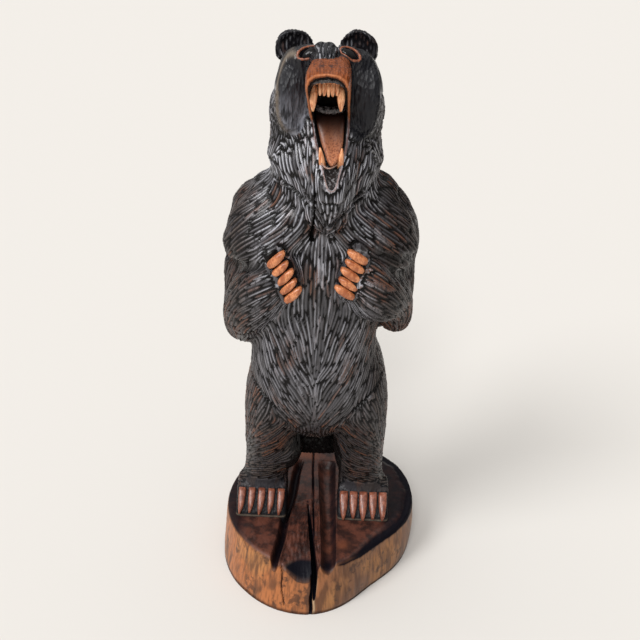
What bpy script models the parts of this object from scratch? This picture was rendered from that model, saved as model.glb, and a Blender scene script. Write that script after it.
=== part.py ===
"""Chainsaw carved bear: a standing, roaring bear cut from one log, with the log's foot left as its base.

Metres, +Z up. The bear faces -Y. The origin is on the floor, at the middle of the log's footprint.
Bear and base are one solid. The bear's masses are modelled as overlapping closed forms, fused by a voxel
remesh and smoothed; then the log, the claws, the teeth and the tongue are joined to it by Booleans.
"""

from math import cos, exp, pi, radians, sin

import bmesh
import bpy
from mathutils import Euler, Matrix, Vector

LOG_RADIUS = 0.232
LOG_WIDTH = 0.975  # across, as a share of front to back
LOG_THICK = 0.118
LOG_FLAT = 0.20  # how much of the radius is missing where the log is flattest
LOG_FLAT_AT = radians(-44)
LOG_FLAT_WIDTH = radians(36)
LOG_FULL = 0.10  # how much fuller it is where it is fullest
LOG_FULL_AT = radians(48)
LOG_FULL_WIDTH = radians(30)
LOG_LEAN = 0.026  # the deck sits this much further back than the foot
LOG_TOP_SCALE = 0.96  # the deck is smaller than the foot, because the sides flare
DECK_TILT = 0.004  # the deck is this much lower at the front than at the middle
RIM_BEVEL = 0.007
FOOT_ROUND = 0.006

BEAR_AT = Vector((-0.024, 0.001, 0.0))  # the bear stands a little to one side of the log's middle
FINE_VOXEL = 0.0052
SOFTEN_STEPS = 8
KEPT_FACES = 0.055  # the share of the fine remesh that is kept

FUR = (0.030, 0.027, 0.027)
FUR_ROUGHNESS = 0.5

# Horizontal sections of head, neck and trunk: height, middle, half width, front, back.
TRUNK = (
    (0.338, 0.002, 0.030, -0.045, 0.060),
    (0.350, 0.002, 0.060, -0.066, 0.100),
    (0.385, 0.002, 0.096, -0.094, 0.130),
    (0.430, 0.000, 0.124, -0.112, 0.142),
    (0.480, -0.002, 0.138, -0.122, 0.140),
    (0.540, -0.003, 0.135, -0.126, 0.130),
    (0.610, -0.002, 0.131, -0.122, 0.124),
    (0.680, 0.000, 0.138, -0.116, 0.124),
    (0.760, 0.000, 0.149, -0.114, 0.128),
    (0.840, 0.000, 0.150, -0.114, 0.130),
    (0.900, 0.000, 0.128, -0.116, 0.124),
    (0.950, 0.002, 0.111, -0.118, 0.112),
    (1.000, 0.005, 0.107, -0.112, 0.102),
    (1.060, 0.005, 0.107, -0.098, 0.098),
    (1.100, 0.003, 0.101, -0.088, 0.093),
    (1.135, -0.001, 0.086, -0.080, 0.083),
    (1.158, -0.001, 0.064, -0.070, 0.064),
    (1.172, -0.001, 0.034, -0.045, 0.036),
)
# Leg and foot sections for the right leg: height, middle, half width, front, back.
LEG = (
    (0.100, 0.115, 0.053, -0.058, 0.098),
    (0.128, 0.115, 0.054, -0.050, 0.099),
    (0.160, 0.114, 0.053, -0.026, 0.098),
    (0.185, 0.110, 0.051, -0.016, 0.094),
    (0.240, 0.101, 0.056, -0.030, 0.098),
    (0.300, 0.098, 0.060, -0.050, 0.112),
    (0.360, 0.092, 0.066, -0.074, 0.128),
    (0.420, 0.086, 0.070, -0.090, 0.136),
    (0.480, 0.078, 0.068, -0.092, 0.132),
    (0.540, 0.070, 0.062, -0.080, 0.118),
)
# The wood left standing between the legs, closing the gap behind: height, middle, half width, front, back.
WEB = (
    (0.196, 0.0, 0.060, 0.080, 0.096),
    (0.214, 0.0, 0.060, 0.070, 0.102),
    (0.300, 0.0, 0.060, 0.066, 0.110),
    (0.400, 0.0, 0.060, 0.050, 0.122),
)
# The muzzle's sections, from the brow forwards: Y, height of the middle, half width, half height.
MUZZLE = (
    (-0.050, 1.112, 0.040, 0.062),
    (-0.090, 1.114, 0.040, 0.062),
    (-0.120, 1.126, 0.042, 0.052),
    (-0.150, 1.140, 0.044, 0.037),
    (-0.178, 1.151, 0.045, 0.024),
    (-0.193, 1.156, 0.041, 0.016),
    (-0.197, 1.157, 0.030, 0.009),
)
# The lower jaw's sections, from the throat forwards.
JAW = (
    (-0.060, 1.000, 0.058, 0.080),
    (-0.100, 0.993, 0.055, 0.072),
    (-0.135, 0.982, 0.048, 0.054),
    (-0.162, 0.974, 0.034, 0.033),
    (-0.182, 0.970, 0.021, 0.020),
    (-0.193, 0.969, 0.010, 0.011),
)
# Outline of the open mouth, as the cutter's mouth side: (X, Y, Z), one half.
MOUTH_FRONT = (
    (0.000, -0.215, 1.172),
    (0.018, -0.215, 1.170),
    (0.032, -0.215, 1.160),
    (0.035, -0.200, 1.100),
    (0.035, -0.190, 1.040),
    (0.029, -0.200, 1.008),
    (0.010, -0.215, 0.986),
    (0.000, -0.215, 0.979),
)
MOUTH_BACK = (
    (0.000, -0.056, 1.098),
    (0.020, -0.056, 1.092),
    (0.030, -0.060, 1.066),
    (0.026, -0.066, 1.040),
    (0.000, -0.070, 1.026),
)
FACE_LEAN = 0.0875  # the face leans: this much sideways for each metre down from the nose
NOSE_TOP = 1.17

SHOULDER_SHIFT = 0.003  # the shoulders sit this much to the right of the trunk, and the legs LEG_SHIFT
LEG_SHIFT = 0.004
LEFT_ELBOW_DROP = 0.030

# Routes of the right arm's masses: (x, y, z, radius).
UPPER_ARM = ((0.086, -0.025, 0.885, 0.056), (0.124, -0.045, 0.838, 0.060), (0.138, -0.052, 0.808, 0.054))
BREAST = ((0.020, -0.076, 0.885, 0.044), (0.070, -0.080, 0.842, 0.052), (0.125, -0.074, 0.806, 0.050))
HUMERUS = ((0.116, 0.020, 0.840, 0.066), (0.139, 0.005, 0.740, 0.055), (0.148, -0.016, 0.636, 0.047))
FOREARM = (
    (0.148, -0.022, 0.638, 0.046),
    (0.136, -0.062, 0.674, 0.056),
    (0.113, -0.096, 0.720, 0.055),
    (0.090, -0.116, 0.764, 0.046),
)
# The canines on the right, upper then lower: root, tip, radius.
CANINES = (
    ((0.024, -0.150, 1.142), (0.022, -0.156, 1.094), 0.0070),
    ((0.025, -0.150, 0.992), (0.022, -0.150, 1.034), 0.0050),
)
INCISOR_ROOT, INCISOR_TIP = 1.156, 1.120
INCISOR_PITCH = 0.0098
INCISOR_RADIUS = 0.0045
# The tongue's sections, from the throat forwards: Y, height of the middle, half width, half height.
TONGUE = (
    (-0.066, 1.040, 0.030, 0.018),
    (-0.110, 1.024, 0.026, 0.015),
    (-0.150, 1.000, 0.017, 0.012),
    (-0.172, 0.992, 0.006, 0.005),
)

TOES_INNER, TOES_OUTER = 0.058, 0.174
CLAWS = 5
# Each paw's row of claws: root of the first, root of the last, and the way from root to tip.
PAW_ROWS = (
    ((-0.093, -0.147, 0.798), (-0.060, -0.147, 0.726), (0.029, -0.001, 0.029)),
    ((0.085, -0.147, 0.813), (0.0646, -0.147, 0.739), (-0.033, -0.001, 0.023)),
)
CLAW_SWELL = (0.72, 1.0, 1.0, 0.92, 0.55)
PAW_CLAW_RADIUS = 0.0070
FOOT_CLAW_RADIUS = 0.0082


def clear_scene():
    for old in list(bpy.data.objects):
        bpy.data.objects.remove(old)


def new_object(name, mesh_maker):
    """An object from a bmesh that mesh_maker fills."""
    shape = bmesh.new()
    mesh_maker(shape)
    bmesh.ops.recalc_face_normals(shape, faces=shape.faces)
    mesh = bpy.data.meshes.new(name)
    shape.to_mesh(mesh)
    shape.free()
    made = bpy.data.objects.new(name, mesh)
    bpy.context.scene.collection.objects.link(made)
    return made


def smooth_rows(rows, steps):
    """Rows of numbers with steps extra rows between each two, on a Catmull-Rom spline through them all."""
    made = []
    last = len(rows) - 1
    for i in range(last):
        before, start, end, after = (rows[min(max(i + k, 0), last)] for k in (-1, 0, 1, 2))
        for step in range(steps):
            t = step / steps
            made.append(
                [
                    b + 0.5 * t * ((c - a) + t * ((2 * a - 5 * b + 4 * c - d) + t * (3 * b - a - 3 * c + d)))
                    for a, b, c, d in zip(before, start, end, after)
                ]
            )
    made.append(list(rows[-1]))
    return made


def skin_rings(shape, rings):
    """Closes a stack of rings of points into one body, with a flat cap at each end."""
    loops = [[shape.verts.new(p) for p in ring] for ring in rings]
    count = len(loops[0])
    for low, high in zip(loops, loops[1:]):
        for i in range(count):
            j = (i + 1) % count
            shape.faces.new((low[i], low[j], high[j], high[i]))
    shape.faces.new(loops[0][::-1])
    shape.faces.new(loops[-1])


def squircle(angle, power=2.4):
    """A point of a unit super-ellipse."""
    c, s = cos(angle), sin(angle)
    return (
        abs(c) ** (2 / power) * (1 if c > 0 else -1),
        abs(s) ** (2 / power) * (1 if s > 0 else -1),
    )


def upright_rings(sections, count=40):
    """Rings for horizontal sections of (height, middle, half width, front, back)."""
    rings = []
    for z, middle, half, front, back in sections:
        ring = []
        for i in range(count):
            x, y = squircle(2 * pi * i / count)
            ring.append((middle + half * x, (front + back) / 2 + (back - front) / 2 * y, z))
        rings.append(ring)
    return rings


def lean(z):
    return (NOSE_TOP - z) * FACE_LEAN - 0.002


def forward_rings(sections, count=24):
    """Rings for upright sections of (Y, height of the middle, half width, half height)."""
    rings = []
    for y, z, half, tall in sections:
        ring = []
        for i in range(count):
            a, b = squircle(2 * pi * i / count)
            ring.append((lean(z) + half * a, y, z + tall * b))
        rings.append(ring)
    return rings


def limb_rings(route, count=20, steps=4, cap_steps=4):
    """Rings of a round limb through (x, y, z, radius) points, with half-ball ends."""
    points = smooth_rows(route, steps)
    turns = [2 * pi * k / count for k in range(count)]
    cap = [(sin(t), cos(t)) for t in (pi / 2 * (k + 0.6) / cap_steps for k in range(cap_steps))]
    rings = []
    for i, (x, y, z, radius) in enumerate(points):
        here = Vector((x, y, z))
        ahead = Vector(points[min(i + 1, len(points) - 1)][:3])
        behind = Vector(points[max(i - 1, 0)][:3])
        along = (ahead - behind).normalized()
        side = along.cross(Vector((0, 1, 0))).normalized()
        front = side.cross(along)
        ends = []
        if i == 0:
            ends = [(-along_share, across) for along_share, across in reversed(cap)]
        body = [(0.0, 1.0)]
        if i == len(points) - 1:
            body += cap
        for shift, scale in ends + body:
            middle = here + along * radius * shift
            rings.append([middle + (side * cos(turn) + front * sin(turn)) * radius * scale for turn in turns])
    return rings


def add_oval(shape, middle, radii, turn=(0, 0, 0), segments=32):
    """An ellipsoid, turned by Euler degrees."""
    place = (
        Matrix.Translation(middle)
        @ Euler([radians(t) for t in turn]).to_matrix().to_4x4()
        @ Matrix.Diagonal((*radii, 1))
    )
    rows = segments * 5 // 8
    bmesh.ops.create_uvsphere(shape, u_segments=segments, v_segments=rows, radius=1, matrix=place)


def mirrored(side, point):
    return (side * point[0], *point[1:])


def add_arm(shape, side, drop):
    """Shoulder, upper arm, breast, elbow, forearm and paw. drop lowers the elbow."""
    add_oval(shape, (side * 0.112 + SHOULDER_SHIFT, 0.012, 0.800), (0.083, 0.096, 0.120))
    lowered = [(x, y, z - drop * share, radius) for (x, y, z, radius), share in zip(FOREARM, (1, 0.5, 0, 0))]
    humerus = [*HUMERUS[:-1], (*HUMERUS[-1][:2], HUMERUS[-1][2] - drop, HUMERUS[-1][3])]
    for route in (UPPER_ARM, BREAST, humerus, lowered):
        skin_rings(shape, limb_rings([mirrored(side, p) for p in route]))
    add_oval(shape, mirrored(side, (0.076, -0.116, 0.774)), (0.040, 0.042, 0.066), (0, side * 24, 0))


def add_head(shape):
    """Cheeks, brow, muzzle, jaw and ears, on top of the trunk's last sections."""
    for side in (-1, 1):
        add_oval(shape, (side * 0.064 + 0.004, -0.040, 1.092), (0.038, 0.058, 0.080), (0, 0, side * 12))
        add_oval(shape, (side * 0.042 - 0.002, -0.056, 1.150), (0.034, 0.040, 0.030))
        # An ear is a thick disc, cupped later.
        add_oval(shape, (side * 0.0585, 0.014, 1.163), (0.037, 0.018, 0.037), (0, 0, -side * 12))
    add_oval(shape, (-0.001, -0.066, 1.154), (0.024, 0.046, 0.026))
    add_oval(shape, (0.012, -0.076, 0.985), (0.082, 0.066, 0.080))
    skin_rings(shape, forward_rings(smooth_rows(MUZZLE, 4)))
    skin_rings(shape, forward_rings(smooth_rows(JAW, 4)))


def add_foot(shape, side):
    """The toes' block, which slopes down to the deck under the claws."""
    profile = ((0.040, 0.090), (-0.062, 0.090), (-0.060, 0.120), (-0.018, 0.164), (0.000, 0.176), (0.040, 0.180))
    sides = (TOES_INNER, TOES_OUTER)
    made = [shape.verts.new((side * x + LEG_SHIFT, y, z)) for x in sides for y, z in profile]
    bmesh.ops.convex_hull(shape, input=made)


def add_masses(shape):
    skin_rings(shape, upright_rings(smooth_rows(TRUNK, 4)))
    skin_rings(shape, upright_rings(WEB, 16))
    add_oval(shape, (0, 0.128, 0.432), (0.030, 0.034, 0.044))
    for side in (-1, 1):
        leg = [(z, side * middle + LEG_SHIFT, half, front, back) for z, middle, half, front, back in LEG]
        skin_rings(shape, upright_rings(smooth_rows(leg, 4), 32))
        add_foot(shape, side)
        add_arm(shape, side, LEFT_ELBOW_DROP if side < 0 else 0.0)
    add_head(shape)


def add_mouth(shape):
    """The hollow of the open mouth: the hull of its front outline and its back wall."""
    for outline in (MOUTH_FRONT, MOUTH_BACK):
        for x, y, z in outline:
            for side in (-1, 1):
                shape.verts.new((lean(z) + side * x, y, z))
    bmesh.ops.convex_hull(shape, input=shape.verts)
    loose = [v for v in shape.verts if not v.link_faces]
    bmesh.ops.delete(shape, geom=loose, context="VERTS")


def add_sockets(shape):
    """The cups of the ears and the hollows of the eyes."""
    for side in (-1, 1):
        add_oval(shape, (side * 0.059, -0.007, 1.164), (0.026, 0.013, 0.026), (0, 0, -side * 12), 16)


def claw_rings(root, tip, out, radius, count=6, steps=4):
    """A claw from root to tip, bowed outwards and narrowing to the tip."""
    rings = []
    root, tip, out = Vector(root), Vector(tip), Vector(out)
    along = (tip - root).normalized()
    side = along.cross(out).normalized()
    turns = [2 * pi * k / count for k in range(count)]
    for i in range(steps + 1):
        t = i / steps
        swell = CLAW_SWELL[i]
        middle = root.lerp(tip, t) + out * radius * 0.5 * sin(pi * t)
        rings.append([middle + (side * cos(turn) + out * sin(turn)) * radius * swell for turn in turns])
    return rings


def add_claws(shape):
    """Five claws on each paw, in a slanting row, and five on each foot, side by side."""
    for first, last, reach in PAW_ROWS:
        for i in range(CLAWS):
            root = Vector(first).lerp(Vector(last), i / (CLAWS - 1))
            skin_rings(shape, claw_rings(root, root + Vector(reach), (0, -1, 0), PAW_CLAW_RADIUS))
    for side in (-1, 1):
        for i in range(CLAWS):
            x = side * (0.0715 + 0.0222 * i) + LEG_SHIFT
            root, tip, out = (x, -0.018, 0.162), (x, -0.064, 0.122), (0, -0.66, 0.75)
            skin_rings(shape, claw_rings(root, tip, out, FOOT_CLAW_RADIUS))


def tooth_rings(root, tip, radius, count=6):
    """A tooth from root to tip, blunt and tapered."""
    root, tip = Vector(root), Vector(tip)
    along = (tip - root).normalized()
    side = along.cross(Vector((0, 1, 0))).normalized()
    front = side.cross(along)
    turns = [2 * pi * k / count for k in range(count)]
    return [
        [root.lerp(tip, t) + (side * cos(turn) + front * sin(turn)) * radius * scale for turn in turns]
        for t, scale in ((-0.12, 1.0), (0.45, 0.9), (1.0, 0.35))
    ]


def add_mouth_parts(shape):
    """Tongue, incisors and canines, all rooted in the wood around the mouth."""
    skin_rings(shape, forward_rings(TONGUE, 12))
    for side in (-1, 1):
        for root, tip, radius in CANINES:
            ends = [(lean(z) + side * x, y, z) for x, y, z in (root, tip)]
            skin_rings(shape, tooth_rings(*ends, radius))
        for i in range(2):
            x = lean(INCISOR_ROOT) + side * INCISOR_PITCH * (0.5 + i)
            y = -0.167 + 0.004 * i
            skin_rings(shape, tooth_rings((x, y, INCISOR_ROOT), (x, y, INCISOR_TIP), INCISOR_RADIUS))


def add_eyes(shape):
    for side in (-1, 1):
        add_oval(shape, (side * 0.0405 - 0.001, -0.088, 1.158), (0.0115, 0.0105, 0.0085), segments=12)


def swell_at(angle, middle, width):
    """1 at the middle angle, falling to 0 on both sides."""
    off = (angle - middle + pi) % (2 * pi) - pi
    return exp(-((off / width) ** 2))


def log_outline(count=64):
    """The log's plan, centred on its box: round, flatter at the front right and fuller at the back right."""
    ring = []
    for i in range(count):
        angle = 2 * pi * i / count
        flat = LOG_FLAT * swell_at(angle, LOG_FLAT_AT, LOG_FLAT_WIDTH)
        full = LOG_FULL * swell_at(angle, LOG_FULL_AT, LOG_FULL_WIDTH)
        radius = LOG_RADIUS * (1 - flat + full)
        ring.append((LOG_WIDTH * radius * cos(angle), radius * sin(angle)))
    middle_x = (max(x for x, _ in ring) + min(x for x, _ in ring)) / 2
    middle_y = (max(y for _, y in ring) + min(y for _, y in ring)) / 2
    return [(x - middle_x, y - middle_y) for x, y in ring]


def add_log(shape):
    """The log from foot to deck, placed so that its box is centred on the origin."""
    outline = log_outline()

    def ring(scale, height, tilt):
        shift = LOG_LEAN * height / LOG_THICK
        return [(x * scale, y * scale + shift, height + tilt * y / LOG_RADIUS) for x, y in outline]

    foot = [ring(1.0 - FOOT_ROUND, 0.0, 0.0), ring(1.0, FOOT_ROUND, 0.0)]
    rim = ring(LOG_TOP_SCALE + 0.01, LOG_THICK - RIM_BEVEL, DECK_TILT)
    deck = ring(LOG_TOP_SCALE - 0.02, LOG_THICK, DECK_TILT)
    depths = [y for points in (*foot, rim, deck) for _, y, _ in points]
    forward = (max(depths) + min(depths)) / 2
    skin_rings(shape, [[(x, y - forward, z) for x, y, z in points] for points in (*foot, rim, deck)])


def channel_points(start, end, width, depth, below):
    """The eight corners of a straight groove from start to end, cut down into the deck."""
    start, end = Vector(start), Vector(end)
    side = (end - start).cross(Vector((0, 0, 1))).normalized() * width / 2
    top = LOG_THICK + 0.05
    return [
        Vector((*(place + side * way).to_2d(), z))
        for place, low in ((start, LOG_THICK - depth), (end, LOG_THICK - depth - below))
        for way in (-1, 1)
        for z in (low, top)
    ]


def add_hull(shape, points):
    made = [shape.verts.new(p) for p in points]
    bmesh.ops.convex_hull(shape, input=made)


def left_channel(shape):
    add_hull(shape, channel_points((-0.054, 0.150, 0), (-0.104, -0.260, 0), 0.018, 0.022, 0.012))


def right_channel(shape):
    add_hull(shape, channel_points((0.014, 0.150, 0), (0.018, -0.260, 0), 0.032, 0.022, -0.004))


def add_check(shape):
    """The check in the log: a wedge that opens to the front, all the way down the log's side."""
    add_hull(
        shape,
        [
            (-0.030, 0.020, LOG_THICK + 0.02),
            (-0.026, 0.020, LOG_THICK - 0.012),
            (-0.024, -0.260, LOG_THICK + 0.02),
            (-0.002, -0.260, LOG_THICK + 0.02),
            (-0.013, -0.260, 0.020),
            (-0.006, -0.260, 0.020),
            (-0.010, -0.150, LOG_THICK - 0.04),
        ],
    )


def add_floor_cut(shape):
    """A block under the floor, which trims the underside flat."""
    bmesh.ops.create_cube(shape, size=1, matrix=Matrix.Translation((0, 0, -0.5)))


def combine(target, operation, name, mesh_maker, at=(0, 0, 0)):
    """Joins a helper shape to the target, or cuts it away, with an exact Boolean."""
    helper = new_object(name, mesh_maker)
    helper.location = at
    helper.hide_render = True
    helper.display_type = "WIRE"
    boolean = target.modifiers.new(name, "BOOLEAN")
    boolean.operation = operation
    boolean.solver = "EXACT"
    boolean.use_self = operation == "UNION"
    boolean.object = helper


def wood_material():
    material = bpy.data.materials.new("stained_wood")
    material.use_nodes = True
    shader = material.node_tree.nodes["Principled BSDF"]
    shader.inputs["Base Color"].default_value = (*FUR, 1)
    shader.inputs["Roughness"].default_value = FUR_ROUGHNESS
    shader.inputs["Metallic"].default_value = 0.0
    return material


def carve_bear():
    bear = new_object("carved_bear", add_masses)
    bear.location = BEAR_AT
    fuse = bear.modifiers.new("fuse", "REMESH")
    fuse.mode = "VOXEL"
    fuse.voxel_size = FINE_VOXEL
    soften = bear.modifiers.new("soften", "SMOOTH")
    soften.factor = 0.5
    soften.iterations = SOFTEN_STEPS
    thin = bear.modifiers.new("thin", "DECIMATE")
    thin.ratio = KEPT_FACES
    combine(bear, "DIFFERENCE", "mouth", add_mouth, BEAR_AT)
    combine(bear, "DIFFERENCE", "ear_cups", add_sockets, BEAR_AT)
    combine(bear, "UNION", "eyes", add_eyes, BEAR_AT)
    combine(bear, "UNION", "mouth_parts", add_mouth_parts, BEAR_AT)
    combine(bear, "UNION", "log", add_log)
    combine(bear, "DIFFERENCE", "left_groove", left_channel)
    combine(bear, "DIFFERENCE", "right_groove", right_channel)
    combine(bear, "DIFFERENCE", "check", add_check)
    combine(bear, "UNION", "claws", add_claws, BEAR_AT)
    combine(bear, "DIFFERENCE", "floor", add_floor_cut)
    bear.data.materials.append(wood_material())


clear_scene()
carve_bear()
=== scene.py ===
"""Looks for the chainsaw carved bear: gouged fur, bared teeth and claws, and the foot of its log.

Metres, +Z up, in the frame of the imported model; rows given to metres() are in millimetres. The figure's own
numbers are in the bear's frame, which stands on the floor BEAR_AT from the model's origin.
Each section is one piece, or a group of pieces made alike.
"""

import random
from math import atan, cos, exp, pi, radians, sin

import bmesh
import bpy
import numpy as np
from mathutils import Euler, Matrix, Vector, noise as turbulence
from mathutils.bvhtree import BVHTree


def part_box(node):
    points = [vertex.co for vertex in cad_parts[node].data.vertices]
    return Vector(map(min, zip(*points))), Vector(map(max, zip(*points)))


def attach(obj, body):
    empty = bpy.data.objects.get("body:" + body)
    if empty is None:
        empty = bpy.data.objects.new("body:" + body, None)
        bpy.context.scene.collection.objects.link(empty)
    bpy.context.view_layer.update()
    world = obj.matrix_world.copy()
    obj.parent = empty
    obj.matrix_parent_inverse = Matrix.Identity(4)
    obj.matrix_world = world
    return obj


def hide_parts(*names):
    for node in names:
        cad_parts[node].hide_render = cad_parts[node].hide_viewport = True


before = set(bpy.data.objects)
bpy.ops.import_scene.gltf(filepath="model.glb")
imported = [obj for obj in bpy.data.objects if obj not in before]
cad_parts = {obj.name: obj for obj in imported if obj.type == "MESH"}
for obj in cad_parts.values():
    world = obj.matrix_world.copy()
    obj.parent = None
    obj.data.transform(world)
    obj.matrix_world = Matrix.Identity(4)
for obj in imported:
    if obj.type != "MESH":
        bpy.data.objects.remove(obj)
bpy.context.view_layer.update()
node_low, node_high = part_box("carved_bear")
DRAFT = 1.0

# ------------------------------------------------------------
# The figure, as it is roughed out of the log: head, neck, trunk, arms and legs in one, without its fur.
# Solid wood. The masses are overlapping closed forms, fused and smoothed like a block worked down by saw.

BEAR_AT = (node_low + node_high) / 2 + Vector((-0.024, 0.001, 0.0))
BEAR_AT.z = node_low.z
ROUGH_VOXEL, ROUGH_SMOOTHING = 0.0052, 8


def metres(*rows):
    """Rows of numbers in millimetres, as metres."""
    return [[round(value / 1000, 7) for value in row] for row in rows]


# Level sections of trunk, leg, and the wood left between the legs: height, middle, half width, front, back.
TRUNK = metres(
    (338, 2, 30, -45, 60), (350, 2, 60, -66, 100), (385, 2, 96, -94, 130), (430, 0, 124, -112, 142),
    (480, -3, 136, -122, 140), (540, -6, 132, -126, 130), (610, -4, 129, -122, 124), (680, 0, 138, -116, 124),
    (760, 0, 149, -114, 128), (840, 0, 150, -114, 130), (900, 0, 118, -116, 124), (950, 3, 101, -118, 112),
    (1000, 2, 103, -112, 102), (1055, 2, 109, -98, 98), (1080, 3, 105, -92, 95), (1105, 5, 90, -86, 91),
    (1130, -1, 83, -78, 83), (1150, -1, 61, -64, 64), (1163, -1, 32, -42, 36),
)
LEG = metres(
    (100, 115, 53, -58, 98), (128, 115, 54, -50, 99), (160, 114, 53, -26, 98), (185, 110, 51, -16, 94),
    (240, 101, 56, -30, 98), (300, 98, 60, -50, 112), (360, 92, 66, -74, 128), (420, 86, 70, -90, 136),
    (480, 78, 68, -92, 132), (540, 70, 58, -80, 118),
)
WEB = metres((196, 0, 60, 80, 96), (214, 0, 60, 70, 102), (300, 0, 60, 66, 110), (400, 0, 60, 50, 122))
LEG_SHIFT, SHOULDER_SHIFT = 0.004, 0.003
# Routes of the limbs: place and radius.
UPPER_ARM = metres((78, -25, 880, 56), (120, -45, 832, 60), (138, -52, 804, 54))
BREAST = metres((20, -76, 885, 44), (70, -80, 842, 52), (125, -74, 806, 50))
HUMERUS = metres((116, 20, 840, 66), (139, 5, 740, 55))
FOREARM = metres((113, -96, 720, 55), (90, -116, 764, 46))
# Elbow on each side: end of the upper arm, and the first two stations of the forearm.
ELBOWS = {
    -1: metres((148, -16, 606, 47), (148, -22, 608, 46), (136, -62, 662, 55)),
    1: metres((159, -14, 630, 36), (159, -20, 632, 36), (143, -54, 690, 47)),
}
TOE_BLOCK = metres((40, 90), (-56, 90), (-56, 123), (-18, 164), (0, 176), (40, 180))
TOES_INNER, TOES_OUTER = 0.058, 0.174
# Rounded masses on both sides: how far out, shift, Y, height, radii, turns about Y and Z in degrees.
SIDE_MASSES = (
    (58, 8, 20, 352, 34, 56, 46, 0, 0),
    (62, 4, -40, 1082, 38, 56, 72, 0, 12),
    (40, -1, -52, 1146, 33, 38, 25, 0, 0),
)
# Single masses: place and radii. Tail, fuller left thigh, then throat and ruff.
MIDDLE_MASSES = metres(
    (0, 128, 432, 30, 34, 44), (-58, 18, 285, 38, 56, 75), (12, -74, 990, 78, 60, 90),
    (12, -62, 930, 78, 78, 85), (14, -112, 938, 40, 58, 50), (13, -92, 905, 52, 64, 60),
)
# The ruff of the neck: the (x, height) of its lower edge, how far it stands out, and its first layer's height.
RUFF_EDGE = metres(
    (-120, 955), (-81, 947), (-39, 930), (-15, 909), (14.5, 867), (40, 908), (73, 926), (93, 942), (120, 952)
)
RUFF_STEP, RUFF_LAYER = 0.0075, 0.018


def put(name, data):
    """An object in the scene that holds the data."""
    made = bpy.data.objects.new(name, data)
    bpy.context.scene.collection.objects.link(made)
    return made


def new_piece(name, mesh_maker):
    """An object from a bmesh that mesh_maker fills, with its faces turned outwards."""
    shape = bmesh.new()
    mesh_maker(shape)
    bmesh.ops.recalc_face_normals(shape, faces=shape.faces)
    mesh = bpy.data.meshes.new(name)
    shape.to_mesh(mesh)
    shape.free()
    return put(name, mesh)


def copy_of(piece, name):
    return new_piece(name, lambda shape: shape.from_mesh(piece.data))


def smooth_rows(rows, steps):
    """Rows of numbers with steps extra rows between each two, on a Catmull-Rom spline through them all."""
    made = []
    last = len(rows) - 1
    for i in range(last):
        before, start, end, after = (rows[min(max(i + k, 0), last)] for k in (-1, 0, 1, 2))
        for step in range(steps):
            t = step / steps
            made.append([
                b + 0.5 * t * ((c - a) + t * ((2 * a - 5 * b + 4 * c - d) + t * (3 * b - a - 3 * c + d)))
                for a, b, c, d in zip(before, start, end, after)
            ])
    made.append(list(rows[-1]))
    return made


def skin_rings(shape, rings, closed=False):
    """Joins a stack of rings into one body: round into a loop, or with a flat cap at each end."""
    loops = [[shape.verts.new(p) for p in ring] for ring in rings]
    count = len(loops[0])
    for low, high in zip(loops, loops[1:] + loops[:1] if closed else loops[1:]):
        shift = min(range(count), key=lambda k: (low[0].co - high[k].co).length) if closed else 0
        for i in range(count):
            j = (i + 1) % count
            shape.faces.new((low[i], low[j], high[(j + shift) % count], high[(i + shift) % count]))
    if not closed:
        shape.faces.new(loops[0][::-1])
        shape.faces.new(loops[-1])


def squircle(count, power=2.4):
    """Points around a square with round corners."""
    turns = [(cos(2 * pi * i / count), sin(2 * pi * i / count)) for i in range(count)]
    return [[abs(t) ** (2 / power) * (1 if t > 0 else -1) for t in turn] for turn in turns]


def upright_rings(sections, count=40):
    """Rings for level sections of (height, middle, half width, front, back)."""
    return [
        [(middle + half * x, (front + back) / 2 + (back - front) / 2 * y, z) for x, y in squircle(count)]
        for z, middle, half, front, back in sections
    ]


def rod_rings(route, count=10, cap_steps=0, closed=False):
    """Rings of a round rod through (x, y, z, radius) points; cap_steps gives it half-ball ends."""
    turns = [2 * pi * k / count for k in range(count)]
    cap = [(sin(t), cos(t)) for t in (pi / 2 * (k + 0.6) / cap_steps for k in range(cap_steps))]
    places = [Vector(row[:3]) for row in route]
    last = len(route) - 1
    rings = []
    for i, here in enumerate(places):
        radius = route[i][3]
        ahead = places[(i + 1) % len(places) if closed else min(i + 1, last)]
        along = (ahead - places[i - 1 if closed else max(i - 1, 0)]).normalized()
        level = not cap_steps and abs(along.z) < 0.9
        side = along.cross(Vector((0.0, 0.3, 1.0)) if level else Vector((0, 1, 0))).normalized()
        front = side.cross(along)
        stations = [(0.0, 1.0)]
        if i == 0:
            stations = [(-forward, across) for forward, across in reversed(cap)] + stations
        if i == last:
            stations += cap
        for shift, scale in stations:
            middle = here + along * radius * shift
            rings.append([middle + (side * cos(turn) + front * sin(turn)) * radius * scale for turn in turns])
    return rings


def placed(middle, turn, size=(1, 1, 1)):
    """The matrix that scales, then turns by Euler degrees, then moves."""
    turning = Euler([radians(t) for t in turn]).to_matrix().to_4x4()
    return Matrix.Translation(middle) @ turning @ Matrix.Diagonal((*size, 1))


def add_ball(shape, place, v_segments=25):
    bmesh.ops.create_uvsphere(shape, u_segments=40, v_segments=v_segments, radius=1, matrix=place)


def add_oval(shape, middle, radii, turn=(0, 0, 0)):
    """An ellipsoid, turned by Euler degrees."""
    add_ball(shape, placed(middle, turn, radii))


def add_side_ovals(shape, side, rows):
    """Ellipsoids on one side: how far out, shift, Y, height, radii, turns about Y and Z in degrees."""
    for *lengths, turn_y, turn_z in rows:
        (out, shift, y, z, *radii), = metres(lengths)
        add_oval(shape, (side * out + shift, y, z), radii, (0, side * turn_y, side * turn_z))


def mirrored(side, point):
    return (side * point[0], *point[1:])


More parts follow.
